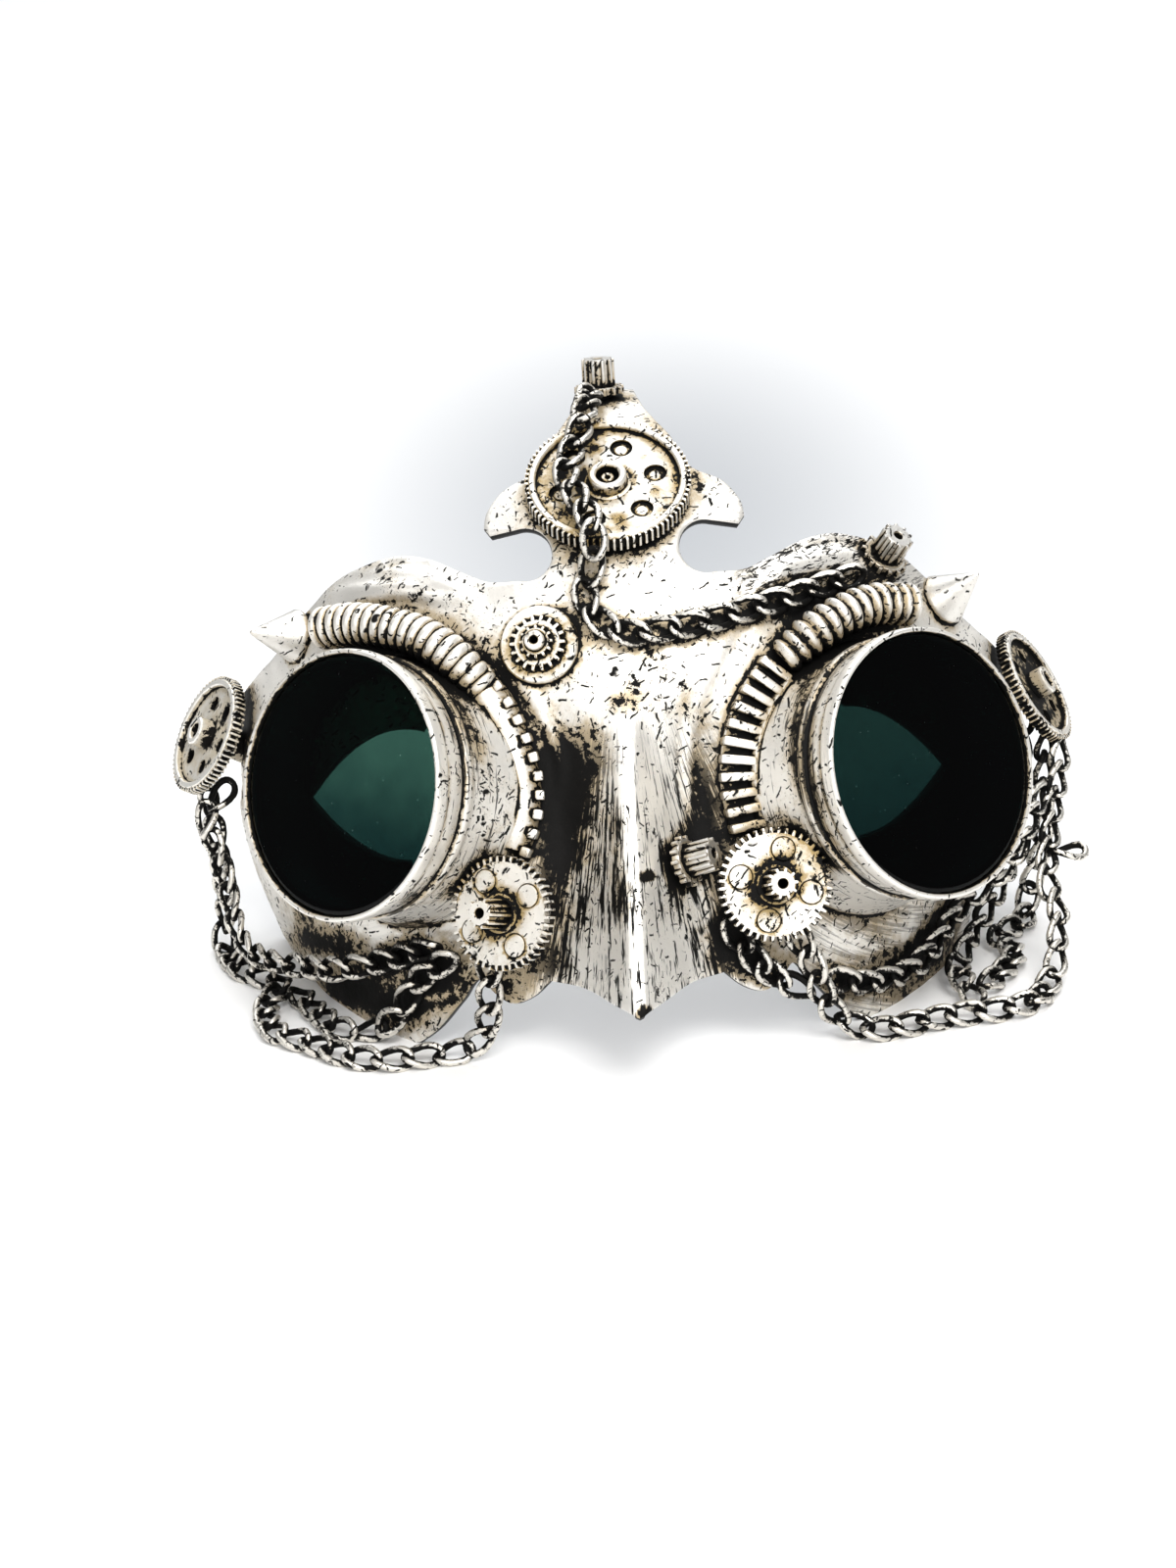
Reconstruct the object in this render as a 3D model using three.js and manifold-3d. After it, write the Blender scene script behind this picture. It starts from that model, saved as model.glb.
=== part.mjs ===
// A carnival half mask dressed with goggles, hoses, gears and chains, standing on its own lower rim.
// Millimetres and degrees. Left and right are as seen from the front.
// The mask's own frame has x to the right, up the face, and out towards the viewer, from between the eyes.
import * as THREE from "three";
import { mergeVertices } from "three/addons/utils/BufferGeometryUtils.js";
import Module from "manifold-3d";

const wasm = await Module();
wasm.setup();

// Stance: the face leans back, and its eye line is this high above the surface that it stands on
const LEAN = 20;
const EYE_HEIGHT = 50.3;
const FRAME_SHIFT = { x: 0.81, y: -11.37 };

// Fits: the moulded wall, and the clearance under each piece that is glued to it
const WALL = 2;
const SEAT_GAP = 0.3;

// Level sections of the face from below the cheeks to the crest: front, half width, and how far it wraps back
const SECTIONS = [
  { up: -66, out: 9, half: 60, wrap: 70 },
  { up: -45, out: 11, half: 67, wrap: 72 },
  { up: -25, out: 12, half: 72.5, wrap: 72 },
  { up: 0, out: 12, half: 80, wrap: 71 },
  { up: 25, out: 10.5, half: 79, wrap: 70 },
  { up: 42, out: 5, half: 74, wrap: 64 },
  { up: 60, out: -6, half: 62, wrap: 50 },
  { up: 70, out: -16.5, half: 48, wrap: 36 },
  { up: 77, out: -30, half: 34, wrap: 24 },
  { up: 84, out: -54, half: 22, wrap: 14 },
];

// Relief of the face: a beaked nose with a narrow ridge, a hollow on each side of it, and a fold on each brow
const NOSE = { top: 16, tip: -45, height: 20, topHalf: 5, tipHalf: 18, ridge: 1.6, grow: 1.15, flare: 1.8 };
const HOLLOW = { depth: 2.6, x: 13, spread: 4.5, top: 22, foot: -26, fade: 20 };
const BROW_FOLD = { height: 1.6, inner: 24, peak: 40, outer: 60, up: 38.5, fall: 0.02, spread: 2.4, fade: 8 };

// Grid of the moulded wall: half its columns, how they crowd to the middle, its last turn, and its rows
const GRID = { columns: 10, crowd: 1.4, lastTurn: 92, rows: 17 };

// Goggles: rim centre, and the way that each tube faces
const GOGGLES = [
  { side: "left", x: -55.2, up: 0.8, out: 12, yaw: -40, pitch: 4.5 },
  { side: "right", x: 58.6, up: -0.8, out: 12, yaw: 38, pitch: 4.5 },
];
const TUBE = { rim: 26.2, lip: 25.7, pocket: 25.2, body: 25, ring: 25.6, foot: 27.3, bore: 23.4, sides: 22 };
const TUBE_STEPS = { edge: -0.5, bead: -3.2, neck: -3.8, ring: -9.6, slope: -11, root: -22, end: -42 };
const LENS = { depth: 2.6, thick: 1.5, dome: 0.5 };
const EYE_HOLE = { inner: 25, outer: 61, corner: -1.5, middle: 43, top: 24, foot: -28 };

// Hoses and racks: the way that each runs over the face, from the temple to the side of the nose
const HOSE = { radius: 4.3, groove: 3.5, pitch: 3.8, sides: 7 };
const RACK = { height: 3.6, slot: 1.6, sink: 1.5, pitch: 4.4, rung: 0.6, edge: 0.02 };
const RACK_WIDTHS = { left: 5, right: 6.6 };
const HOSE_RUNS = {
  left: [[-55.8, 31.4], [-50, 31], [-43.9, 30], [-36.8, 27.6], [-32.5, 24.8], [-28.8, 21.2]],
  right: [[54.6, 29.3], [50.6, 29.5], [46.2, 29.2], [40.9, 27.4], [35.7, 24.6], [30.6, 20.8]],
};
const RACK_RUNS = {
  left: [[-27.2, 19.6], [-23, 12.5], [-20.4, 5], [-19.4, -2], [-20.2, -8], [-22, -13]],
  right: [[28.6, 18.4], [24.4, 12.4], [21.6, 5], [20.8, -3], [22, -11]],
};
const SPIKE = { radius: 5.4, neck: 5, collar: 1.2, length: 11.1, tip: 0.3, sink: 0.7, sides: 14 };
const SPIKES = {
  left: { x: -64.4, up: 31, yaw: -58, pitch: 6 },
  right: { x: 64.6, up: 31.2, yaw: 50, pitch: 27 },
};

// Wheels as layers along their axes, from the front face of the main one: a layer without teeth is round
const WHEEL_LAYERS = {
  crest: [
    { from: -3.2, to: 0, tip: 16.2, root: 15.3, teeth: 40, bore: 13.8 },
    { from: -3, to: -1.6, tip: 14.2, holes: 6, ring: 9.2, hole: 1.9 },
    { from: -2.5, to: 0.6, tip: 3.8, bore: 1.6 },
    { from: -9, to: -2.8, tip: 3 },
  ],
  cheek: [
    { from: -2.2, to: 0, tip: 10.9, root: 9.7, teeth: 36 },
    { from: -0.6, to: 0.4, pads: 4, ring: 6.9, tip: 2.3 },
    { from: -1, to: 7.5, tip: 2.9, root: 2.2, teeth: 10, bore: 1 },
    { from: -14, to: -2, tip: 3 },
  ],
  temple: [
    { from: -2.6, to: 0, tip: 12.6, root: 11.7, teeth: 32, bore: 10.6 },
    { from: -2.4, to: -1.2, tip: 11, holes: 3, ring: 7, hole: 1.3 },
    { from: -2, to: 3.4, tip: 3, bore: 1.6 },
    { from: -14, to: -2.2, tip: 3 },
  ],
  brow: [
    { from: -1.4, to: 0, tip: 7.6 },
    { from: -0.6, to: 1.5, tip: 5.4, root: 4.4, teeth: 18 },
    { from: 0.6, to: 3.6, tip: 3.2, root: 2.5, teeth: 10 },
    { from: 1, to: 4.4, tip: 1.9, bore: 0.8 },
    { from: -6, to: -1, tip: 3 },
  ],
  pinion: [
    { from: 0, to: 1.5, tip: 5, root: 4.2, teeth: 12 },
    { from: 0.6, to: 7, tip: 3.3, root: 2.6, teeth: 10, bore: 1 },
    { from: -6, to: 0.8, tip: 2.4 },
  ],
};
const WHEELS = {
  crest_gear: { layers: "crest", x: -0.8, up: 57.5, out: 0, yaw: 0, pitch: 38, phase: 0 },
  left_cheek_gear: { layers: "cheek", x: -25.4, up: -25, out: 18.5, yaw: -29, pitch: 4, phase: 27 },
  right_cheek_gear: { layers: "cheek", x: 27, up: -22.3, out: 18, yaw: 8, pitch: 3, phase: 75 },
  left_temple_gear: { layers: "temple", x: -86.6, up: 13, out: -42, yaw: -57, pitch: 21, phase: 20 },
  right_temple_gear: { layers: "temple", x: 85.6, up: 14.2, out: -42, yaw: 64, pitch: 24, phase: 60 },
  brow_gear: { layers: "brow", x: -15.6, up: 25.7, out: 10.6, yaw: -11, pitch: 10, phase: 0 },
  crest_pinion: { layers: "pinion", x: -1.6, up: 77, out: -27.4, yaw: 0, pitch: 74, phase: 0 },
  brow_pinion: { layers: "pinion", x: 52.4, up: 39.8, out: -11.2, yaw: 33, pitch: 36, phase: 0 },
  nose_pinion: { layers: "pinion", x: 9.8, up: -17.3, out: 13, yaw: 60, pitch: 12, phase: 0 },
};
const ROUND_SIDES = [{ over: 6, sides: 20 }, { over: 2.6, sides: 9 }, { over: 0, sides: 6 }];

// Chains as round strands: a point with no depth lies on the surface that the mask stands on
const CHAIN = { radius: 1.9, sides: 8, stride: 7.6, rest: 2.15 };
const CHAINS = {
  brow_chain: [
    [-3.5, 76, -18.4], [-4.8, 71, -6.6], [-6.1, 66.6, -3.8], [-8.6, 60, 1.5], [-8.4, 56.8, 4.1],
    [-6.3, 53, 7.1], [-4.6, 49.3, 10.1], [-4, 45.4, 12.6], [-4.5, 41.4, 10.4], [-5.1, 37.8, 10],
    [-6.1, 33.7, 10.9], [-3.7, 29.7, 12.1], [1.4, 27, 12.8], [8.9, 27.4, 12.3], [16.5, 28.5, 10.9],
    [24.1, 30.3, 8.8], [31.9, 32.1, 5.8], [39.8, 34.4, 1.8], [45, 35.8, -1.4],
  ],
  left_cheek_chain: [
    [-83.5, -0.1, -42], [-86.8, -5.1, -40], [-84.9, -11.2, -40], [-82.8, -17.8, -42], [-79.3, -24, -40],
    [-76.3, -29.6, -35], [-71.9, -33, -27], [-66, -34.9, -20], [-59.6, -35.4, -13], [-51.1, -34.3, -7.9],
    [-41, -31.8, 1.2],
  ],
  left_swag_chain: [
    [-37.6, -34.5, 3.4], [-41.9, -37.2, -0.7], [-45.5, -41.9, -4.5], [-48.4, -45.4, -6], [-52.5, -47.5],
    [-58.1, -47.4], [-63.2, -44.7], [-67.8, -41.3],
  ],
  left_outer_chain: [
    [-86.9, -2, -50], [-85.9, -10.2, -51], [-85.1, -22.6, -55], [-86.3, -30.1], [-81.4, -35.7],
    [-72.7, -38.9], [-74.6, -42.7], [-72.2, -46.8], [-64.9, -49], [-55.7, -51.8], [-49.1, -52.5],
    [-42.5, -52.3], [-35.4, -51.9], [-31, -49.5, 3.5], [-28.9, -44.6, 8], [-28.4, -38.3, 12],
    [-28.2, -35.2, 12.6],
  ],
  right_outer_chain: [
    [31.2, -33.1, 11], [33, -36.8, 10], [34.2, -40.9, 8], [35.8, -45.3, 5], [38.5, -49, 3], [43, -51.2],
    [47.6, -51.8], [53.7, -51], [60, -50.2], [66.2, -49.9], [72.2, -49.4], [77.1, -48.5], [81.1, -45.8],
    [83.3, -41.4, -18], [84, -36.7, -20], [84.8, -32, -23], [83.8, -27.7, -26], [83.1, -23.3, -28],
    [84.8, -18.3, -30], [85.4, -13.4, -33], [87.2, -7.8, -36], [88.8, -0.4, -39.6],
  ],
  right_cheek_chain: [
    [83, -9.4, -32.2], [79.4, -16, -27], [77.1, -20.5, -28.5], [72.2, -25.1, -29.5], [66.7, -29.4, -27.5],
    [62.1, -33.6, -21.5], [58.3, -38.2, -16.9], [53.6, -41.2, -12], [48.2, -42.6, -6.6], [43.2, -42.8, -1.9],
    [39.6, -42, 1],
  ],
  right_swag_chain: [
    [82.2, 7.8, -43.6], [81, -2, -44], [80, -10, -43.6], [79, -17, -42.4], [76.3, -24.7, -39.4],
    [72.9, -29.5, -36.6], [69.8, -34, -32.6], [66.4, -38.2, -27.4], [64.1, -41.8, -22], [64.6, -44.7, -14.2],
    [65.8, -47.1],
  ],
  right_back_chain: [
    [86.05, 1.9, -41.8], [85.4, -8, -45.4], [85.2, -16.2, -47], [84, -22.7, -50], [82.4, -28.5, -53],
    [80.7, -33.9], [74.3, -37.2], [76.5, -40.1], [73.1, -43.1], [70.3, -44.7],
  ],
  right_gear_chain: [[19.3, -31.9, 11.6], [22.1, -36, 10.4], [25.5, -39.5, 8.8], [30.2, -42.5, 6.5]],
};

const radians = THREE.MathUtils.degToRad;
const clamp = THREE.MathUtils.clamp;
const step = THREE.MathUtils.smoothstep;

// A place in the mask's own frame
function place(x, up, out) {
  return new THREE.Vector3(x, -out, up);
}

// The way that a piece faces, turned to the side by its yaw and up by its pitch
function facing({ yaw, pitch }) {
  const level = Math.cos(radians(pitch));
  return place(Math.sin(radians(yaw)) * level, Math.sin(radians(pitch)), Math.cos(radians(yaw)) * level);
}

// One column of the section table at any height, on a smooth curve through its rows
function section(column, up) {
  const last = SECTIONS.length - 1;
  const above = SECTIONS.findIndex((row) => row.up > up);
  const k = clamp(above < 0 ? last - 1 : above - 1, 0, last - 1);
  const slope = (i) => {
    const before = SECTIONS[Math.max(i - 1, 0)];
    const after = SECTIONS[Math.min(i + 1, last)];
    return (after[column] - before[column]) / (after.up - before.up);
  };
  const low = SECTIONS[k];
  const high = SECTIONS[k + 1];
  const span = high.up - low.up;
  const s = (up - low.up) / span;
  const rise = s * s * (3 - 2 * s);
  const leave = s * (1 - s) * (1 - s) * span * slope(k);
  const arrive = s * s * (s - 1) * span * slope(k + 1);
  return low[column] + (high[column] - low[column]) * rise + leave + arrive;
}

// How far the relief stands out of the smooth face
function relief(x, up) {
  const side = Math.abs(x);
  const down = clamp((NOSE.top - up) / (NOSE.top - NOSE.tip), 0, 1.2);
  const half = NOSE.topHalf + (NOSE.tipHalf - NOSE.topHalf) * down;
  const flank = clamp((side - NOSE.ridge) / (half - NOSE.ridge), 0, 1);
  const nose = NOSE.height * down ** NOSE.grow * (1 - flank) ** NOSE.flare;
  const hill = (distance, spread) => Math.exp(-((distance / spread) ** 2));
  const within = (value, low, high, fade) => {
    return step(value, low, low + fade) * (1 - step(value, high - fade, high));
  };
  const beside = hill(side - HOLLOW.x, HOLLOW.spread);
  const hollow = HOLLOW.depth * beside * within(up, HOLLOW.foot, HOLLOW.top, HOLLOW.fade);
  const line = BROW_FOLD.up - BROW_FOLD.fall * (side - BROW_FOLD.peak) ** 2;
  const along = within(side, BROW_FOLD.inner, BROW_FOLD.outer, BROW_FOLD.fade);
  const fold = BROW_FOLD.height * along * hill(up - line, BROW_FOLD.spread);
  return nose - hollow + fold;
}

// A point of the face's outer surface, by its turn round the head and its height
function facePoint(turn, up) {
  const x = section("half", up) * Math.sin(turn);
  const out = section("out", up) - section("wrap", up) * (1 - Math.cos(turn));
  return place(x, up, out + relief(x, up));
}

// The way out of the face at that point, from its neighbours a little to each side, above and below
const NEAR = { turn: 0.015, up: 0.8 };

function faceNormal(turn, up) {
  const across = facePoint(turn + NEAR.turn, up).sub(facePoint(turn - NEAR.turn, up));
  const along = facePoint(turn, up + NEAR.up).sub(facePoint(turn, up - NEAR.up));
  return across.cross(along).normalize();
}

function faceLift(turn, up, lift) {
  return facePoint(turn, up).addScaledVector(faceNormal(turn, up), lift);
}

// The face under a point that is given as it shows from the front
function seat(x, up) {
  const turn = Math.asin(clamp(x / section("half", up), -1, 1));
  return { point: facePoint(turn, up), normal: faceNormal(turn, up) };
}

// Solids for cutting and joining
function solid(geometry) {
  const bare = geometry.clone();
  for (const name of Object.keys(bare.attributes)) {
    if (name !== "position") bare.deleteAttribute(name);
  }
  const merged = mergeVertices(bare, 1e-4);
  const vertProperties = new Float32Array(merged.attributes.position.array);
  const triVerts = new Uint32Array(merged.index.array);
  return new wasm.Manifold(new wasm.Mesh({ numProp: 3, vertProperties, triVerts }));
}

function geometryOf(body) {
  const mesh = body.getMesh();
  const geometry = new THREE.BufferGeometry();
  geometry.setAttribute("position", new THREE.BufferAttribute(new Float32Array(mesh.vertProperties), 3));
  geometry.setIndex(new THREE.BufferAttribute(new Uint32Array(mesh.triVerts), 1));
  return geometry;
}

// A closed solid whose rings of points lie one after another, each with the same count
function loft(rings) {
  const count = rings[0].length;
  const points = rings.flat();
  const ends = [rings[0], rings[rings.length - 1]].map((ring) => {
    const middle = ring.reduce((sum, p) => sum.add(p), new THREE.Vector3());
    return points.push(middle.divideScalar(count)) - 1;
  });
  const index = [];
  for (let i = 0; i < count; i += 1) {
    const next = (i + 1) % count;
    for (let ring = 0; ring < rings.length - 1; ring += 1) {
      const low = ring * count;
      const high = low + count;
      index.push(low + i, low + next, high + next, low + i, high + next, high + i);
    }
    const top = (rings.length - 1) * count;
    index.push(ends[0], next, i, ends[1], top + i, top + next);
  }
  const geometry = new THREE.BufferGeometry().setFromPoints(points);
  geometry.setIndex(index);
  return geometry;
}

// The space between two sheets that follow the face
const TURNS = Array.from({ length: 2 * GRID.columns + 1 }, (_, i) => {
  const share = (i - GRID.columns) / GRID.columns;
  return Math.sign(share) * Math.abs(share) ** GRID.crowd * radians(GRID.lastTurn);
});
const HEIGHTS = Array.from({ length: GRID.rows + 1 }, (_, j) => {
  const [low, high] = [SECTIONS[0].up, SECTIONS[SECTIONS.length - 1].up];
  return low + ((high - low) * j) / GRID.rows;
});

function slab(outer, inner) {
  const wide = TURNS.length;
  const sheet = wide * HEIGHTS.length;
  const sheetPoints = (at) => HEIGHTS.flatMap((up) => TURNS.map((turn) => at(turn, up)));
  const points = [...sheetPoints(outer), ...sheetPoints(inner)];
  const index = [];
  const quad = (a, b, c, d) => index.push(a, b, c, a, c, d);
  for (let j = 0; j < HEIGHTS.length - 1; j += 1) {
    for (let i = 0; i < wide - 1; i += 1) {
      const [a, b, c, d] = [j * wide + i, j * wide + i + 1, (j + 1) * wide + i + 1, (j + 1) * wide + i];
      quad(a, b, c, d);
      quad(d + sheet, c + sheet, b + sheet, a + sheet);
    }
    const [low, high] = [j * wide, (j + 1) * wide];
    quad(low, high, high + sheet, low + sheet);
    quad(high + wide - 1, low + wide - 1, low + wide - 1 + sheet, high + wide - 1 + sheet);
  }
  const top = (HEIGHTS.length - 1) * wide;
  for (let i = 0; i < wide - 1; i += 1) {
    quad(i + 1, i, i + sheet, i + 1 + sheet);
    quad(top + i, top + i + 1, top + i + 1 + sheet, top + i + sheet);
  }
  const geometry = new THREE.BufferGeometry().setFromPoints(points);
  geometry.setIndex(index);
  return solid(geometry);
}

// A straight cut through the face from the front, with the outline that shows there
function frontCut(points) {
  const reach = 220;
  const geometry = new THREE.ExtrudeGeometry(new THREE.Shape(points), { depth: reach, bevelEnabled: false });
  geometry.rotateX(Math.PI / 2);
  geometry.translate(0, reach / 2, 0);
  return solid(geometry);
}

// Right half of the mask's outline from the top of the crest, round the wing, notch and brow, to the nose
function halfOutline() {
  const edge = new THREE.Path();
  const to = (...points) => edge.splineThru(points.map(([x, up]) => new THREE.Vector2(x, up)));
  edge.moveTo(0, 78.5);
  edge.lineTo(5.2, 78);
  to([6.5, 74], [9, 70], [12, 66], [13.5, 62]);
  to([15.8, 59.4], [21.5, 56.4], [24.6, 52.4], [25.2, 49.5]);
  edge.lineTo(24.2, 47.9);
  edge.lineTo(18.5, 49);
  edge.absarc(17.6, 43.4, 5.6, radians(85), radians(185), false);
  edge.absarc(17.6, 43.4, 5.6, radians(185), radians(285), false);
  to([25, 38.3], [30, 40.6], [36.8, 43.8], [42.8, 45], [48.7, 43.9], [55.8, 41.2], [61.5, 36], [69, 28]);
  edge.lineTo(95, 8);
  edge.lineTo(95, -90);
  edge.lineTo(48, -90);
  edge.lineTo(46, -51.5);
  to([40, -47.8], [34.5, -42], [30.3, -37.7], [27.5, -40.6], [24.3, -42.6], [20.5, -41.5], [16.8, -38.5]);
  to([10, -40], [4, -43.2], [0, -45]);
  return edge.getPoints(2);
}

function mirrored(points) {
  const left = points.slice(1, -1).map((p) => new THREE.Vector2(-p.x, p.y));
  return [...points, ...left.reverse()];
}

function almond(side) {
  const { inner, outer, corner, middle, top, foot } = EYE_HOLE;
  const edge = new THREE.Path();
  edge.moveTo(side * inner, corner);
  edge.quadraticCurveTo(side * middle, top, side * outer, corner);
  edge.quadraticCurveTo(side * middle, foot, side * inner, corner);
  return edge.getPoints(9).slice(0, -1);
}

// The face as a thick block with its skin a little outside the shell: it trims the back of each glued piece
const HEAD_CENTRE = place(0, 0, -50);
const BLOCK_CORE = 0.5;
const seatBlock = slab(
  (turn, up) => faceLift(turn, up, SEAT_GAP),
  (turn, up) => facePoint(turn, up).sub(HEAD_CENTRE).multiplyScalar(BLOCK_CORE).add(HEAD_CENTRE),
);

function seated(body) {
  return geometryOf(body.subtract(seatBlock));
}

// The surface that the mask stands on, in the mask's own leaning frame
const stance = new THREE.Matrix4().makeRotationX(-radians(LEAN));
stance.setPosition(FRAME_SHIFT.x, FRAME_SHIFT.y, EYE_HEIGHT);
const GROUND = { wide: 400, deep: 120 };
const ground = new THREE.BoxGeometry(GROUND.wide, GROUND.wide, GROUND.deep).translate(0, 0, -GROUND.deep / 2);
ground.applyMatrix4(stance.clone().invert());

function maskShell() {
  const wall = slab(facePoint, (turn, up) => faceLift(turn, up, -WALL));
  const outlined = wall.intersect(frontCut(mirrored(halfOutline())));
  const eyed = [-1, 1].reduce((shell, side) => shell.subtract(frontCut(almond(side))), outlined);
  return geometryOf(eyed.subtract(solid(ground)));
}

// Puts a geometry that was made along z where it belongs: its z axis faces out of its place
function turned(geometry, at, aim) {
  const turn = new THREE.Quaternion().setFromUnitVectors(new THREE.Vector3(0, 0, 1), aim);
  return geometry.applyQuaternion(turn).translate(at.x, at.y, at.z);
}

function lathe(profile, sides) {
  const points = profile.map(([radius, height]) => new THREE.Vector2(radius, height));
  return new THREE.LatheGeometry(points, sides).rotateX(Math.PI / 2);
}

// Outside of a goggle tube, from its foot in the face to the bead at its rim
const TUBE_SIDE = [
  [TUBE.foot, TUBE_STEPS.end],
  [TUBE.foot, TUBE_STEPS.root],
  [TUBE.ring, TUBE_STEPS.slope],
  [TUBE.body, TUBE_STEPS.ring],
  [TUBE.body, TUBE_STEPS.neck],
  [TUBE.rim, TUBE_STEPS.bead],
  [TUBE.rim, TUBE_STEPS.edge],
  [TUBE.lip, 0],
];

function onGoggle(goggle, profile) {
  return turned(lathe(profile, TUBE.sides), place(goggle.x, goggle.up, goggle.out), facing(goggle));
}

function goggleTube(goggle) {
  const inside = [
    [TUBE.pocket, 0],
    [TUBE.pocket, -LENS.depth],
    [TUBE.bore, -LENS.depth],
    [TUBE.bore, TUBE_STEPS.end],
    [TUBE.foot, TUBE_STEPS.end],
  ];
  return seated(solid(onGoggle(goggle, [...TUBE_SIDE, ...inside])));
}

// The room that both tubes take up, for what is laid beside them
const goggleRoom = GOGGLES.map((goggle) => {
  const side = TUBE_SIDE.map(([radius, height]) => [radius + SEAT_GAP, height]);
  return solid(onGoggle(goggle, [[0, TUBE_STEPS.end], ...side, [0, 0]]));
}).reduce((both, room) => both.add(room));

function lens(goggle) {
  const radius = TUBE.pocket - SEAT_GAP;
  const back = -LENS.depth + SEAT_GAP;
  const front = back + LENS.thick;
  return onGoggle(goggle, [[0, back], [radius, back], [radius, front], [0, front + LENS.dome]]);
}

// Stations along a run over the face, at the given distances: the middle, the way out, and the way across
function stations(run, lift, distances) {
  const seats = run.map(([x, up]) => seat(x, up));
  const lifted = seats.map(({ point, normal }) => point.addScaledVector(normal, lift));
  const curve = new THREE.CatmullRomCurve3(lifted);
  const length = curve.getLength();
  return distances(length).map((distance) => {
    const t = clamp(distance / length, 0, 1);
    const middle = curve.getPointAt(t);
    const along = curve.getTangentAt(t);
    const rough = seat(middle.x, middle.z).normal;
    const across = new THREE.Vector3().crossVectors(along, rough).normalize();
    return { middle, along, across, normal: new THREE.Vector3().crossVectors(across, along) };
  });
}

// Distances along a length, at the same shares of every pitch
function everyPitch(pitch, shares) {
  return (length) => {
    const count = Math.round(length / pitch);
    const spots = Array.from({ length: count }, (_, i) => shares.map((share) => (i + share) / count));
    return [...spots.flat(), 1].map((share) => share * length);
  };
}

function hose(side) {
  const made = stations(HOSE_RUNS[side], HOSE.radius, everyPitch(HOSE.pitch, [0, 0.5]));
  const rings = made.map(({ middle, normal, across }, i) => {
    const radius = i % 2 ? HOSE.radius : HOSE.groove;
    return Array.from({ length: HOSE.sides }, (_, k) => {
      const angle = (2 * Math.PI * (k + 0.5)) / HOSE.sides;
      const reach = middle.clone().addScaledVector(normal, radius * Math.cos(angle));
      return reach.addScaledVector(across, radius * Math.sin(angle));
    });
  });
  return seated(solid(loft(rings)).subtract(goggleRoom));
}

function rack(side) {
  const shares = [0, RACK.rung, RACK.rung + RACK.edge, 1 - RACK.edge];
  const made = stations(RACK_RUNS[side], 0, everyPitch(RACK.pitch, shares));
  const rings = made.map(({ middle, normal, across }, i) => {
    const top = i % 4 < 2 ? RACK.height : RACK.height - RACK.slot;
    const corners = [[-1, -RACK.sink], [-1, top], [1, top], [1, -RACK.sink]];
    return corners.map(([way, lift]) =>
      middle.clone().addScaledVector(across, (way * RACK_WIDTHS[side]) / 2).addScaledVector(normal, lift));
  });
  return seated(solid(loft(rings)).subtract(goggleRoom));
}

function spike(side) {
  const spot = SPIKES[side];
  const { point, normal } = seat(spot.x, spot.up);
  const base = point.addScaledVector(normal, -SPIKE.sink);
  const profile = [
    [0, 0],
    [SPIKE.neck, 0],
    [SPIKE.radius, SPIKE.collar],
    [SPIKE.tip, SPIKE.length - SPIKE.tip],
    [0, SPIKE.length],
  ];
  const cone = solid(turned(lathe(profile, SPIKE.sides), base, facing(spot)));
  return seated(cone.subtract(solid(hose(side))));
}

// Outlines of wheels: a round one, and one with pointed teeth
function ringOutline(radius, x = 0, y = 0) {
  const { sides } = ROUND_SIDES.find(({ over }) => radius > over);
  return Array.from({ length: sides }, (_, k) => {
    const angle = (2 * Math.PI * k) / sides;
    return new THREE.Vector2(x + radius * Math.cos(angle), y + radius * Math.sin(angle));
  });
}

function toothOutline(tip, root, teeth) {
  return Array.from({ length: 2 * teeth }, (_, k) => {
    const angle = (Math.PI * k) / teeth;
    const radius = k % 2 ? root : tip;
    return new THREE.Vector2(radius * Math.cos(angle), radius * Math.sin(angle));
  });
}

function around(count, ring, phase) {
  return Array.from({ length: count }, (_, k) => {
    const angle = radians(phase) + (2 * Math.PI * k) / count;
    return [ring * Math.cos(angle), ring * Math.sin(angle)];
  });
}

// The solids of one layer of a wheel
function layerSolids({ from, to, tip, root, teeth, bore, holes, pads, ring, hole }, phase) {
  const raise = (shape) => {
    const depth = to - from;
    return solid(new THREE.ExtrudeGeometry(shape, { depth, bevelEnabled: false }).translate(0, 0, from));
  };
  if (pads) {
    return around(pads, ring, phase).map(([x, y]) => raise(new THREE.Shape(ringOutline(tip, x, y))));
  }
  const shape = new THREE.Shape(teeth ? toothOutline(tip, root, teeth) : ringOutline(tip));
  if (bore) shape.holes.push(new THREE.Path(ringOutline(bore)));
  const spots = holes ? around(holes, ring, phase) : [];
  shape.holes.push(...spots.map(([x, y]) => new THREE.Path(ringOutline(hole, x, y))));
  return [raise(shape)];
}

function wheel(spot) {
  const solids = WHEEL_LAYERS[spot.layers].flatMap((layer) => layerSolids(layer, spot.phase));
  const whole = geometryOf(solids.reduce((body, piece) => body.add(piece)));
  const set = turned(whole, place(spot.x, spot.up, spot.out), facing(spot));
  return seated(solid(set).subtract(goggleRoom));
}

function chain(route) {
  const level = (up) => (CHAIN.rest - EYE_HEIGHT - up * Math.cos(radians(LEAN))) / Math.sin(radians(LEAN));
  const path = new THREE.CatmullRomCurve3(route.map(([x, up, out]) => place(x, up, out ?? level(up))));
  const corners = Array.from({ length: CHAIN.sides }, (_, k) => {
    const angle = (2 * Math.PI * k) / CHAIN.sides;
    return new THREE.Vector2(CHAIN.radius * Math.cos(angle), CHAIN.radius * Math.sin(angle));
  });
  const steps = Math.round(path.getLength() / CHAIN.stride);
  const round = new THREE.Shape(corners);
  const strand = new THREE.ExtrudeGeometry(round, { steps, extrudePath: path, bevelEnabled: false });
  return geometryOf(solid(strand).subtract(solid(ground)));
}

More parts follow.
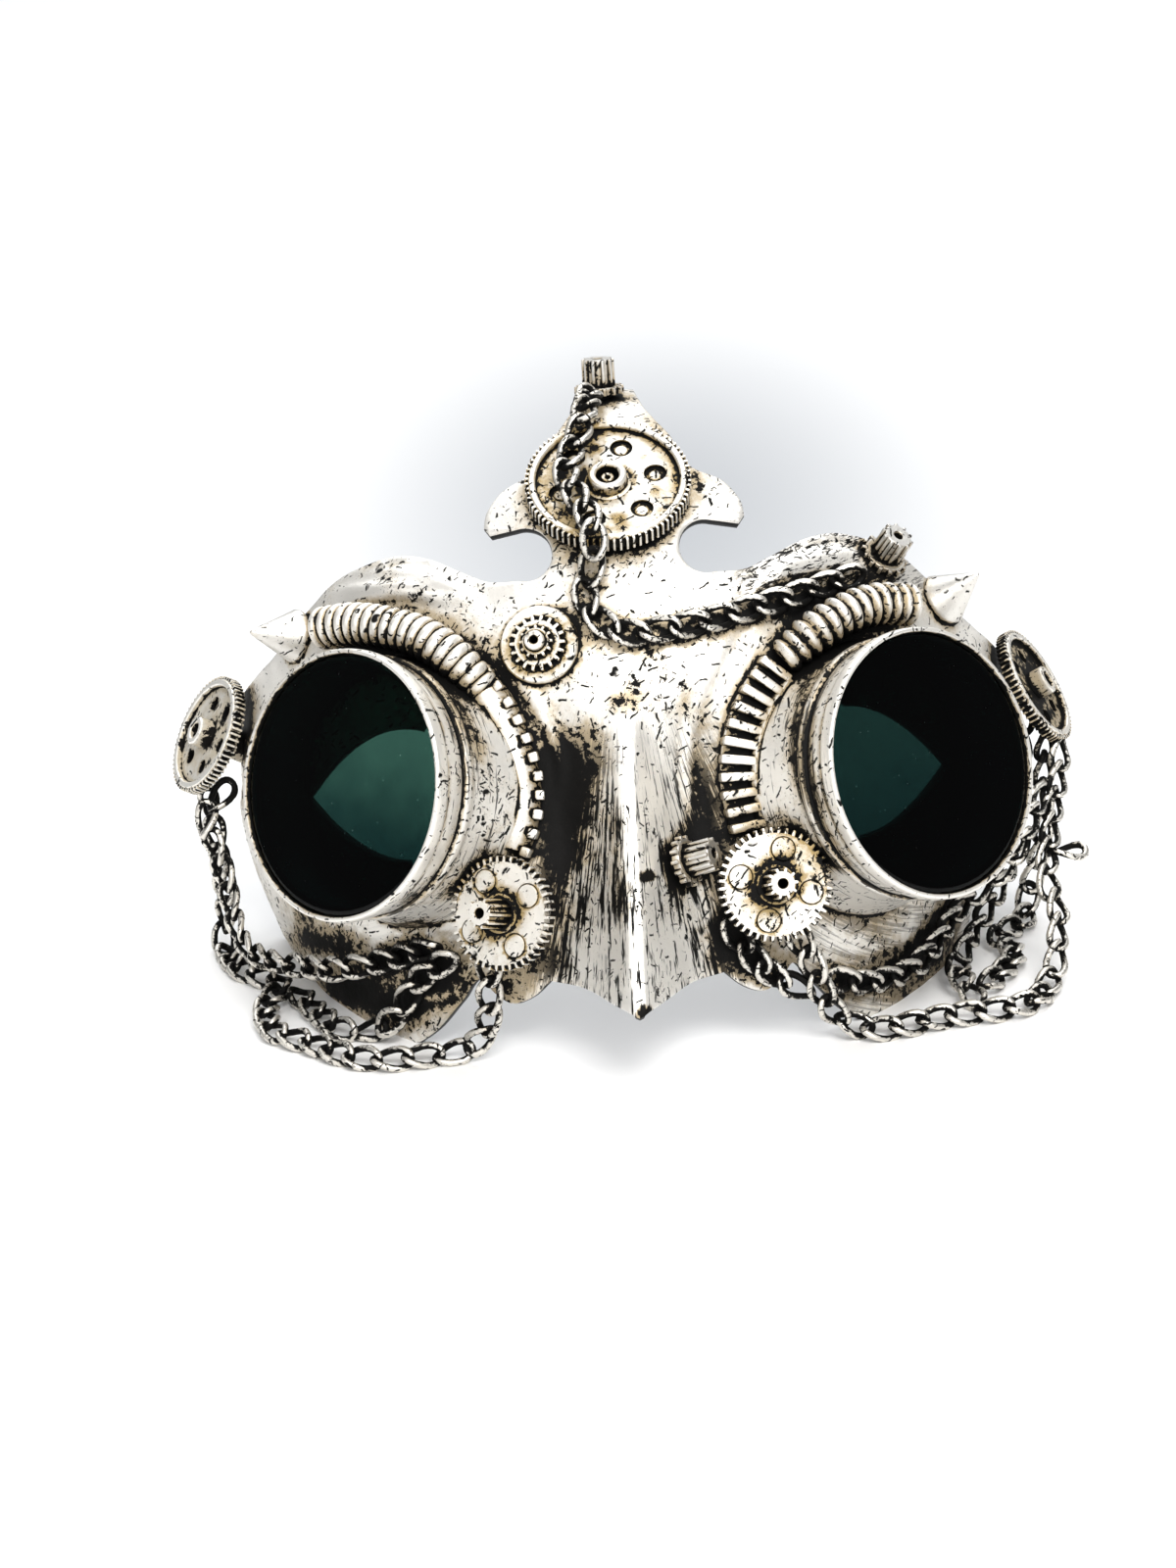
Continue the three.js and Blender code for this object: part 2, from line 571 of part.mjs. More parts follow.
const SILVER = { color: 0xc9c3b6, roughness: 0.42, metalness: 0.85 };
const DARK_SILVER = { color: 0x8e8a82, roughness: 0.45, metalness: 0.9 };
const GREEN_LENS = { color: 0x0f2a22, roughness: 0.08, metalness: 0 };

const mask = new THREE.Group();
mask.applyMatrix4(stance);

function add(name, geometry, finish = SILVER) {
  const mesh = new THREE.Mesh(geometry, new THREE.MeshStandardMaterial(finish));
  mesh.name = name;
  mask.add(mesh);
}

add("mask_shell", maskShell());
for (const goggle of GOGGLES) {
  add(`${goggle.side}_goggle_tube`, goggleTube(goggle));
  add(`${goggle.side}_lens`, lens(goggle), GREEN_LENS);
}
for (const side of ["left", "right"]) {
  add(`${side}_hose`, hose(side));
  add(`${side}_rack`, rack(side));
  add(`${side}_spike`, spike(side));
}

for (const [name, spot] of Object.entries(WHEELS)) add(name, wheel(spot));
for (const [name, route] of Object.entries(CHAINS)) add(name, chain(route), DARK_SILVER);

const part = new THREE.Group();
part.add(mask);
export default part;
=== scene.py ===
"""Looks of a carnival half mask that is dressed with goggles, hoses, gears and chains."""
import math
import bmesh
import bpy
import numpy as np
from mathutils import Matrix, Vector, noise
from mathutils.bvhtree import BVHTree
from mathutils.geometry import delaunay_2d_cdt


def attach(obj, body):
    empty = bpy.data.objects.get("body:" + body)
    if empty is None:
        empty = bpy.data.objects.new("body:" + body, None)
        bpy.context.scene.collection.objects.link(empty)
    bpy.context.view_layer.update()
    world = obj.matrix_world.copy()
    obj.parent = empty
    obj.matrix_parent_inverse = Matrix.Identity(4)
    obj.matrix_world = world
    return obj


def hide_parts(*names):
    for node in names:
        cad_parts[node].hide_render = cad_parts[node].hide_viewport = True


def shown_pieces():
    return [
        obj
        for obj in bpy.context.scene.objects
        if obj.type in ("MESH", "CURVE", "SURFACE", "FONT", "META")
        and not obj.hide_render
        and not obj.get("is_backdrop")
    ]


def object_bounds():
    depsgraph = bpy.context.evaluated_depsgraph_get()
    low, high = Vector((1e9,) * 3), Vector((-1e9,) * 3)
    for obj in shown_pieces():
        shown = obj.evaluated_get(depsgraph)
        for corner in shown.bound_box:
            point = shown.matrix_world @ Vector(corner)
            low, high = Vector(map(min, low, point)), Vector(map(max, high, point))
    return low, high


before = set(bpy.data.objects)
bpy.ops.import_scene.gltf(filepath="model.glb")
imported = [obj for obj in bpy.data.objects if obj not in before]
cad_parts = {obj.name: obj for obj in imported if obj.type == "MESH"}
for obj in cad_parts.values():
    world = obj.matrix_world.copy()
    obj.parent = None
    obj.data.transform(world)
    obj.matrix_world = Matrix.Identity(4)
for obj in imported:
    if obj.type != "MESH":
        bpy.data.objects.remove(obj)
solid_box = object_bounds()

# The mask stands on a pale table, and is seen square to its face, which leans back.
# Its own measures run across, up the face and out of it in millimetres, from between the eyes.
LEAN = math.radians(20)
BETWEEN_EYES = np.array([0.00081, -0.01137, 0.0503])
FACE_AXES = np.array([
    [1, 0, 0],
    [0, math.sin(LEAN), math.cos(LEAN)],
    [0, -math.cos(LEAN), math.sin(LEAN)],
])


def in_room(points):
    """Places on the face, in millimetres, as places in the room."""
    return BETWEEN_EYES + np.asarray(points, float) @ FACE_AXES * 0.001


CAMERA = {"turn": math.radians(3), "away": 0.7, "lens": 82.9, "shift": (-40 / 1600, -10 / 1600)}
camera = bpy.data.objects.new("camera", bpy.data.cameras.new("camera"))
bpy.context.scene.collection.objects.link(camera)
bpy.context.scene.camera = camera
across, up_face, out_face = FACE_AXES
camera_right = across * math.cos(CAMERA["turn"]) - up_face * math.sin(CAMERA["turn"])
camera_up = across * math.sin(CAMERA["turn"]) + up_face * math.cos(CAMERA["turn"])
camera_place = BETWEEN_EYES + CAMERA["away"] * out_face
pose = np.eye(4)
pose[:3] = np.column_stack([camera_right, camera_up, out_face, camera_place])
camera.matrix_world = Matrix(pose.tolist())
camera.data.lens = CAMERA["lens"]
camera.data.shift_x, camera.data.shift_y = CAMERA["shift"]
camera.data.clip_start = 0.01


class Flow:
    """A value that runs through a node tree. Sums and products of such values add their own nodes."""

    def __init__(self, socket):
        self.socket = socket

    def node(self, kind, settings, sockets, out=0):
        """A node of that kind with its settings, then its sockets by name or number."""
        made = self.socket.id_data.nodes.new(kind)
        for name, value in settings.items():
            setattr(made, name, value)
        for key, value in sockets.items():
            if isinstance(value, Flow):
                self.socket.id_data.links.new(value.socket, made.inputs[key])
            else:
                made.inputs[key].default_value = value
        return Flow(made.outputs[out])

    def maths(self, operation, *values):
        return self.node("ShaderNodeMath", {"operation": operation}, dict(enumerate(values)))

    def __add__(self, other):
        return self.maths("ADD", self, other)

    def __radd__(self, other):
        return self.maths("ADD", other, self)

    def __sub__(self, other):
        return self.maths("SUBTRACT", self, other)

    def __rsub__(self, other):
        return self.maths("SUBTRACT", other, self)

    def __mul__(self, other):
        return self.maths("MULTIPLY", self, other)

    def __rmul__(self, other):
        return self.maths("MULTIPLY", other, self)

    def most(self, other):
        return self.maths("MAXIMUM", self, other)

    def ramp(self, low, high, start=0.0, end=1.0):
        """From start at low to end at high, smoothly."""
        ends = {"Value": self, "From Min": low, "From Max": high, "To Min": start, "To Max": end}
        return self.node("ShaderNodeMapRange", {"interpolation_type": "SMOOTHSTEP"}, ends)

    def tint(self, first, second):
        """The first colour where this is 0, and the second where it is 1."""
        return self.node("ShaderNodeMix", {"data_type": "RGBA"}, {0: self, 6: first, 7: second}, 2)

    def vector(self, operation, *values, out=0):
        return self.node("ShaderNodeVectorMath", {"operation": operation}, dict(enumerate(values)), out)

    def scaled(self, factor):
        return self.node("ShaderNodeVectorMath", {"operation": "SCALE"}, {0: self, 3: factor})

    def cloud(self, per_mm, detail=3.0, rough=0.55, twist=0.0):
        """Cloudy values over a place in millimetres."""
        sockets = {"Vector": self, "Scale": per_mm, "Detail": detail, "Roughness": rough, "Distortion": twist}
        return self.node("ShaderNodeTexNoise", {}, sockets)

    def named(self, name, out):
        return self.node("ShaderNodeAttribute", {"attribute_name": name}, {}, out)

    def feed(self, surface, name):
        self.socket.id_data.links.new(self.socket, surface.inputs[name])


def new_finish(name):
    """A finish, its surface, and the place on the piece in millimetres."""
    finish = bpy.data.materials.new(name)
    finish.use_nodes = True
    nodes = finish.node_tree.nodes
    place = Flow(nodes.new("ShaderNodeTexCoord").outputs["Object"]).scaled(1000)
    return finish, nodes["Principled BSDF"], place


table = bpy.data.meshes.new("table")
table.from_pydata([(-4, -4, 0), (4, -4, 0), (4, 4, 0), (-4, 4, 0)], [], [(0, 1, 2, 3)])
table_top = bpy.data.objects.new("table_top", table)
bpy.context.scene.collection.objects.link(table_top)
# The table is painted greyer behind the mask, in a long oval that fades out: a painted shadow of the mask
SHADOW_OVAL = {"Location": (12, 340, 0), "Scale": (165, 420, 1000)}
table_paint, table_surface, table_place = new_finish("white_table")
oval = table_place.node("ShaderNodeMapping", {"vector_type": "TEXTURE"}, {"Vector": table_place, **SHADOW_OVAL})
pale = oval.vector("LENGTH", oval, out=1).ramp(0, 1)
pale.tint((0.39, 0.405, 0.425, 1), (0.9, 0.9, 0.9, 1)).feed(table_surface, "Base Color")
table_surface.inputs["Roughness"].default_value = 0.55
table.materials.append(table_paint)
table_top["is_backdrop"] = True


def add_light(name, place, size, power, colour, target=(0, 0, 0)):
    """A soft box of light that hangs at a place and faces a target, which is the mask if none is given."""
    light = bpy.data.lights.new(name, "AREA")
    light.shape = "RECTANGLE"
    light.size, light.size_y = size
    light.energy = power
    light.color = colour
    holder = bpy.data.objects.new(name, light)
    bpy.context.scene.collection.objects.link(holder)
    holder.location = place
    aim = Vector(target) - Vector(place)
    holder.rotation_euler = aim.to_track_quat("-Z", "Y").to_euler()


add_light("tent_box", (0.3, -2.1, 1.05), (2.6, 1.5), 26, (1, 0.99, 0.975))
add_light("front_box", (0.3, -1.0, 1.3), (0.9, 0.6), 21, (1, 0.985, 0.965))
add_light("left_box", (-1.1, -0.9, 0.9), (0.8, 0.8), 5, (1, 0.99, 0.975))
add_light("top_box", (0.1, 0.15, 1.7), (1.6, 1.2), 12, (1, 1, 1))
add_light("far_box", (0, 2.4, 2.4), (4.5, 2.5), 85, (0.97, 0.985, 1), target=(0, 1.2, 0))
room = bpy.data.worlds.new("room")
room.use_nodes = True
room.node_tree.nodes["Background"].inputs["Color"].default_value = (0.93, 0.96, 1, 1)
room.node_tree.nodes["Background"].inputs["Strength"].default_value = 0.2
bpy.context.scene.world = room
bpy.context.scene.view_settings.view_transform = "Standard"

# The face is one moulding of thin black plastic, trimmed to its crest, wings and eye holes.
# Silver is brushed on nearly dry, so that it takes on the heights, and brown stain stays in the lows.
SECTIONS = np.array([
    # up, front, half width, wrap
    (-66, 9, 60, 70),
    (-45, 11, 67, 72),
    (-25, 12, 72.5, 72),
    (0, 12, 80, 71),
    (25, 10.5, 79, 70),
    (42, 5, 74, 64),
    (60, -6, 62, 50),
    (70, -16.5, 48, 36),
    (77, -30, 34, 24),
    (84, -54, 22, 14),
])
FRONT, HALF, WRAP = 1, 2, 3


def section(column, up):
    """One column of the section table at any height, on a smooth curve through its rows."""
    heights, values = SECTIONS[:, 0], SECTIONS[:, column]
    up = np.clip(up, heights[0], heights[-1])
    last = len(heights) - 1
    k = np.clip(np.searchsorted(heights, up, side="right") - 1, 0, last - 1)
    before = np.maximum(np.arange(last + 1) - 1, 0)
    after = np.minimum(np.arange(last + 1) + 1, last)
    slope = (values[after] - values[before]) / (heights[after] - heights[before])
    span = heights[k + 1] - heights[k]
    s = (up - heights[k]) / span
    rise = (values[k + 1] - values[k]) * s * s * (3 - 2 * s)
    bend = s * (1 - s) ** 2 * span * slope[k] + s * s * (s - 1) * span * slope[k + 1]
    return values[k] + rise + bend


def smooth_step(value, low, high):
    s = np.clip((value - low) / (high - low), 0, 1)
    return s * s * (3 - 2 * s)


def hill(distance, spread):
    return np.exp(-((distance / spread) ** 2))


NOSE = {
    "top": 16, "tip": -45, "high": 20, "top_half": 5, "tip_half": 18,
    "ridge": 1.6, "grow": 1.15, "flare": 1.8,
}
HOLLOW = {"deep": 2.6, "x": 13, "spread": 4.5, "foot": -26, "top": 22, "fade": 20}
BROW_FOLD = {
    "high": 1.6, "inner": 24, "peak": 40, "outer": 60, "up": 38.5,
    "fall": 0.02, "spread": 2.4, "fade": 8,
}


def between(value, low, high, fade):
    """1 between two ends, and 0 outside them, fading inside each."""
    return smooth_step(value, low, low + fade) * (1 - smooth_step(value, high - fade, high))


def relief(x, up):
    """How far the nose, the hollows beside it and the brow folds stand out of the smooth face."""
    side = np.abs(x)
    down = np.clip((NOSE["top"] - up) / (NOSE["top"] - NOSE["tip"]), 0, 1.2)
    half = NOSE["top_half"] + (NOSE["tip_half"] - NOSE["top_half"]) * down
    flank = np.clip((side - NOSE["ridge"]) / (half - NOSE["ridge"]), 0, 1)
    nose = NOSE["high"] * down ** NOSE["grow"] * (1 - flank) ** NOSE["flare"]
    lows = between(up, HOLLOW["foot"], HOLLOW["top"], HOLLOW["fade"])
    line = BROW_FOLD["up"] - BROW_FOLD["fall"] * (side - BROW_FOLD["peak"]) ** 2
    along = between(side, BROW_FOLD["inner"], BROW_FOLD["outer"], BROW_FOLD["fade"])
    fold = BROW_FOLD["high"] * along * hill(up - line, BROW_FOLD["spread"])
    return nose - HOLLOW["deep"] * hill(side - HOLLOW["x"], HOLLOW["spread"]) * lows + fold


def face(turn, up):
    """The face's outer surface by the turn round the head and the height."""
    x = section(HALF, up) * np.sin(turn)
    out = section(FRONT, up) - section(WRAP, up) * (1 - np.cos(turn))
    return np.stack([x, up, out + relief(x, up)], -1)


def face_normal(turn, up, aside=0.012, above=0.7):
    """The way out of the face, from places a little aside and above."""
    side = face(turn + aside, up) - face(turn - aside, up)
    rise = face(turn, up + above) - face(turn, up - above)
    normal = np.cross(side, rise)
    return normal / np.linalg.norm(normal, axis=-1, keepdims=True)


def turn_at(x, up):
    return np.arcsin(np.clip(np.asarray(x) / section(HALF, up), -1, 1))


def strand(points, steps):
    """A smooth curve through points, with the same number of steps from each to the next."""
    p = np.array(points, float)
    p = np.vstack([2 * p[0] - p[1], p, 2 * p[-1] - p[-2]])
    gap = np.maximum(np.linalg.norm(np.diff(p, axis=0), axis=1), 1e-6) ** 0.5
    s = np.linspace(0, 1, steps, endpoint=False)[:, None]
    made = []
    for i in range(1, len(p) - 2):
        a, b, c = gap[i - 1], gap[i], gap[i + 1]
        leave = ((p[i] - p[i - 1]) / a - (p[i + 1] - p[i - 1]) / (a + b)) * b + (p[i + 1] - p[i])
        reach = ((p[i + 2] - p[i + 1]) / c - (p[i + 2] - p[i]) / (b + c)) * b + (p[i + 1] - p[i])
        step = p[i + 1] - p[i]
        bend = 3 * step - 2 * leave - reach
        swing = leave + reach - 2 * step
        made.append(p[i] + leave * s + bend * s ** 2 + swing * s ** 3)
    return np.vstack([*made, p[-2]])


def arc(centre, radius, start, end, steps):
    angle = np.radians(np.linspace(start, end, steps))
    return np.column_stack([centre[0] + radius * np.cos(angle), centre[1] + radius * np.sin(angle)])


CREST_SIDE = [(5.2, 78), (6.5, 74), (9, 70), (12, 66), (13.5, 62)]
WING = [(13.5, 62), (15.8, 59.4), (21.5, 56.4), (24.6, 52.4), (25.2, 49.5)]
NOTCH = arc((17.6, 43.4), 5.6, 85, 285, 26)
BROW = [
    tuple(NOTCH[-1]), (25, 38.3), (30, 40.6), (36.8, 43.8), (42.8, 45), (48.7, 43.9), (55.8, 41.2),
    (61.5, 36), (69, 28),
]
CHEEK = [
    (46, -51.5), (40, -47.8), (34.5, -42), (30.3, -37.7), (27.5, -40.6), (24.3, -42.6), (20.5, -41.5),
    (16.8, -38.5),
]
NOSE_EDGE = [(16.8, -38.5), (10, -40), (4, -43.2), (0, -45)]
LAST_TURN = math.radians(92)
SPREAD = 75
temple = np.linspace((69, 28), (79.2, 20.15), 14)[1:]
front_edge = np.vstack([
    [(0, 78.5)], strand(CREST_SIDE, 8), strand(WING, 8)[1:], [(24.2, 47.9)], NOTCH,
    strand(BROW, 8)[1:], temple,
])
foot_edge = np.vstack([strand(CHEEK, 8), strand(NOSE_EDGE, 8)[1:]])


def unrolled(points):
    """Places that are given as they show from the front, on the face rolled out flat."""
    x, up = np.asarray(points, float).T
    return np.column_stack([turn_at(x, up) * SPREAD, up])


corner = LAST_TURN * SPREAD
right_edge = np.vstack([
    unrolled(front_edge), [(corner, 19.6), (corner, -65.9), (46, -65.9)], unrolled(foot_edge),
])
outline = np.vstack([right_edge, (right_edge * (-1, 1))[1:-1][::-1]])
EYE_HOLE = {"inner": (25, -1.5), "outer": (63.5, -1.5), "top": (43, 24), "foot": (43, -28)}


def almond(side):
    """The ring of an eye hole on the face rolled out flat, on the side of that sign."""
    s = np.linspace(0, 1, 26)[:-1, None]
    inner, outer, top, foot = (np.array(EYE_HOLE[name], float) for name in ("inner", "outer", "top", "foot"))
    lids = ((inner, top, outer), (outer, foot, inner))
    ring = [a * (1 - s) ** 2 + b * 2 * s * (1 - s) + c * s ** 2 for a, b, c in lids]
    return unrolled(np.vstack(ring) * (side, 1))


def table_line(turn):
    """The height at which the outer surface meets the table."""
    low, high = np.full_like(turn, -66.0), np.full_like(turn, 10.0)
    for _ in range(40):
        middle = (low + high) / 2
        above = in_room(face(turn, middle))[:, 2] > 0
        low, high = np.where(above, low, middle), np.where(above, middle, high)
    return high


def inside(points, ring):
    """Which points lie inside a closed ring."""
    x, y = points.T
    crossed = np.zeros(len(points), bool)
    for (ax, ay), (bx, by) in zip(ring, np.roll(ring, -1, axis=0)):
        if ay != by:
            hit = (ay > y) != (by > y)
            crossed ^= hit & (x < (bx - ax) * (y - ay) / (by - ay) + ax)
    return crossed


def clear_of(grid, rims, gap):
    """The points of a grid that are further than a gap from every point of the rims."""
    return grid[np.min([np.hypot(*(grid - p).T) for p in rims], axis=0) > gap]


def cut_sheet(rings, grid, line=()):
    """Flat triangles between the points of a grid, inside the first ring and outside the others.
    An open line through them is kept as edges."""
    points, edges = [], []
    for ring in rings:
        first = len(points)
        points += ring.tolist()
        edges += [(first + i, first + (i + 1) % len(ring)) for i in range(len(ring))]
    edges += [(len(points) + i, len(points) + i + 1) for i in range(len(line) - 1)]
    points += [*np.asarray(line).tolist(), *grid.tolist()]
    flat, _, triangles, *_ = delaunay_2d_cdt([Vector(p) for p in points], edges, [], 0, 1e-5)
    flat = np.array([tuple(v) for v in flat])
    triangles = np.array(triangles)
    middle = flat[triangles].mean(1)
    keep = inside(middle, rings[0])
    for ring in rings[1:]:
        keep &= ~inside(middle, ring)
    return flat, triangles[keep]


def open_edges(triangles):
    """The edges that only one triangle has, in that triangle's order."""
    sides = np.vstack([triangles[:, [0, 1]], triangles[:, [1, 2]], triangles[:, [2, 0]]]).tolist()
    known = {tuple(e) for e in sides}
    return [(a, b) for a, b in sides if (b, a) not in known]


def moulded_sheet(spacing):
    """Triangles of the face rolled out flat, trimmed to the outline, the eye holes and the table."""
    rings = [outline, almond(-1), almond(1)]
    turns = np.linspace(-LAST_TURN * 1.02, LAST_TURN * 1.02, 260)
    stand = np.column_stack([turns * SPREAD, table_line(turns)])
    columns = np.arange(-corner, corner, spacing)
    rows = np.arange(-58, 80, spacing * 0.87)
    grid = np.array([(x + (j % 2) * spacing / 2, up) for j, up in enumerate(rows) for x in columns])
    keep = inside(grid, rings[0]) & ~inside(grid, rings[1]) & ~inside(grid, rings[2])
    grid = grid[keep & (grid[:, 1] > np.interp(grid[:, 0], *stand.T))]
    flat, triangles = cut_sheet(rings, clear_of(grid, np.vstack([*rings, stand]), spacing * 0.55), stand)
    middle = flat[triangles].mean(1)
    triangles = triangles[middle[:, 1] > np.interp(middle[:, 0], *stand.T)]
    used, index = np.unique(triangles, return_inverse=True)
    return flat[used], index.reshape(-1, 3)


# Soft folds that stand out of the face: height, half width, the painted shade beside them, and the run from
# the front
WELTS = [
    (0.9, 1.2, 0.12, [(22, 28), (17.5, 20.5), (13.8, 13), (12, 5), (11.8, -3), (13.4, -9)]),
    (0.9, 1.2, 0.12, [(-25, 26), (-18, 17), (-14.2, 9), (-12.6, 2), (-13.6, -4)]),
    (1.0, 1.5, 0.12, [(-60, 34.5), (-55.5, 38.3), (-47, 38.6), (-39, 37.4), (-31, 33.8)]),
    (3.0, 5.0, 0, [(-79, 2), (-77, -8), (-74.5, -18), (-71, -28), (-66, -36)]),
    (0.7, 1.2, 0.12, [(-52, 41.2), (-44, 41.6), (-37, 40.6), (-30, 37.6)]),
    (0.9, 1.5, 0.12, [(26, 35), (33, 38.6), (41, 40.6), (49, 39.6), (57, 35.6)]),
    (0.6, 1.1, 0.12, [(-24, -33), (-31, -38.5), (-39, -41), (-47, -40.5)]),
    (0.6, 1.1, 0.12, [(33, -36), (40, -39.6), (48, -40.2), (56, -37)]),
]
# Where the face is painted darker, or lighter if below 0: black and brown stain that the brush left, and
# painted shade beside the nose and under the chains on the left cheek. Place from the front, its spread, and
# how much
STAIN_AND_SHADE_SPOTS = [
    (-12.5, -3, 3.4, 10, 0.5),
    (-7.5, 1, 3.8, 9, 0.36),
    (-8, -18, 4, 9, 0.1),
    (0, 14.2, 3.6, 2.6, 0.22),
    (2.9, -19.4, 1.3, 0.9, 1.2),
    (1, -44.5, 1.5, 1.3, 0.8),
    (-15.5, -17, 3.5, 9, 0.32),
    (13.5, -9, 3.0, 8, 0.22),
    (17.5, -24, 3.5, 8, 0.28),
    (-19, -34, 7, 6, 0.3),
    (18, -35, 6, 5, 0.26),
    (-34, -41, 9, 5, 0.3),
    (-57, -41, 9, 5, 0.5),
    (-61, -30.5, 8, 3, 0.42),
    (-66, -22, 3, 8, 0.4),
    (-2.4, -20, 1.5, 15, 0.18),
    (-45, -27, 11, 5, -0.15),
    (-44, 37, 15, 4.5, -0.2),
    (42, 38.5, 13, 5, -0.16),
    (10.5, 70, 5, 6, 0.2),
    (-9, 71, 4, 5, 0.12),
    (4.5, -24, 2.6, 16, -0.14),
    (-30, 36, 6, 5, -0.1),
    (24, -4, 4, 8, -0.05),
    (49, -31, 9, 5, 0.16),
    (60, -40, 10, 5, 0.28),
    (54, -46.5, 9, 3.5, 0.25),
    (-46, -42, 8, 5, 0.15),
]


def near_run(points, run):
    """How near points are to a run as seen from the front, and a factor that fades at the run's ends."""
    line = strand(run, 14)
    gap = np.linalg.norm(points[:, None, :2] - line[None], axis=2)
    return gap.min(1), np.sin(math.pi * (gap.argmin(1) + 0.5) / len(line)) ** 0.6


WALL = 2.0
# How the trimmed edge rounds from the outer side to the inner one: depth in the wall, and bulge
EDGE_ROUND = [(0.25, 0.28), (1.0, 0.42), (1.75, 0.28)]
# How uneven the moulding is: the width of its waves, and their height
WAVES = [(13, 0.35), (4.5, 0.15)]
flat, triangles = moulded_sheet(1.05)
turns, heights = flat[:, 0] / SPREAD, flat[:, 1]
skin, skin_out = face(turns, heights), face_normal(turns, heights)
inner = skin - skin_out * WALL
lifted = np.array([sum(noise.noise(Vector(p) / wide) * high for wide, high in WAVES) for p in skin])
stain_and_shade = np.zeros(len(skin))
# Each fold lifts the face, and the crease beside it is darkened as painted shade
for height, width, black, run in WELTS:
    gap, taper = near_run(skin, run)
    lifted += height * taper * hill(gap, width)
    stain_and_shade += black * taper * hill(gap - 1.7 * width, 0.7 * width)
# Spots of black, brown stain and painted shade from the table above
for x, up, wide, tall, amount in STAIN_AND_SHADE_SPOTS:
    stain_and_shade += amount * hill(np.hypot((skin[:, 0] - x) / wide, (skin[:, 1] - up) / tall), 1)
skin = skin + skin_out * lifted[:, None]
rim = open_edges(triangles)
off_edge = np.zeros_like(skin)
for a, b in rim:
    away = np.cross(skin[b] - skin[a], skin_out[a])
    off_edge[a] += away
    off_edge[b] += away
off_edge /= np.maximum(np.linalg.norm(off_edge, axis=1, keepdims=True), 1e-9)
on_rim = np.unique(rim)
layers = [skin[on_rim] - skin_out[on_rim] * deep + off_edge[on_rim] * bulge for deep, bulge in EDGE_ROUND]
count = len(skin)
slot_of = {v: i for i, v in enumerate(on_rim.tolist())}
shell_points = np.vstack([skin, inner, *layers])
shell_faces = triangles.tolist() + (triangles[:, ::-1] + count).tolist()
starts = [2 * count + k * len(on_rim) for k in range(len(layers))]
for a, b in rim:
    steps = [(a, b), *[(start + slot_of[a], start + slot_of[b]) for start in starts], (a + count, b + count)]
    for (a0, b0), (a1, b1) in zip(steps, steps[1:]):
        shell_faces.append((b0, a0, a1, b1))


def brush_marks(place, cell, length, width, share):
    """Short scratches, one in each cell that has one, each turned its own way and of its own size.
    Each is a thin disc, which the surface cuts in a line."""
    sockets = {"Vector": place, "Scale": 1 / cell, "Randomness": 1}
    marks = place.node("ShaderNodeTexVoronoi", {"feature": "F1"}, sockets)
    cells = marks.socket.node.outputs
    chance = place.node("ShaderNodeSeparateColor", {}, {0: Flow(cells["Color"])}, 2)
    size = Flow(chance.socket.node.outputs[0])
    way = place.vector("SUBTRACT", Flow(cells["Color"]), (0.5, 0.5, 0.5))
    way = way.vector("NORMALIZE", way)
    reach = place.vector("SUBTRACT", place, Flow(cells["Position"]))
    through = reach.vector("DOT_PRODUCT", reach, way, out=1)
    along = reach.vector("SUBTRACT", reach, way.scaled(through))
    along = along.vector("LENGTH", along, out=1)
    along = along.maths("DIVIDE", along, 0.4 + size)
    disc = through.maths("ABSOLUTE", through).ramp(width, width * 0.35) * along.ramp(length, length * 0.75)
    return disc * chance.ramp(share, share - 0.03)


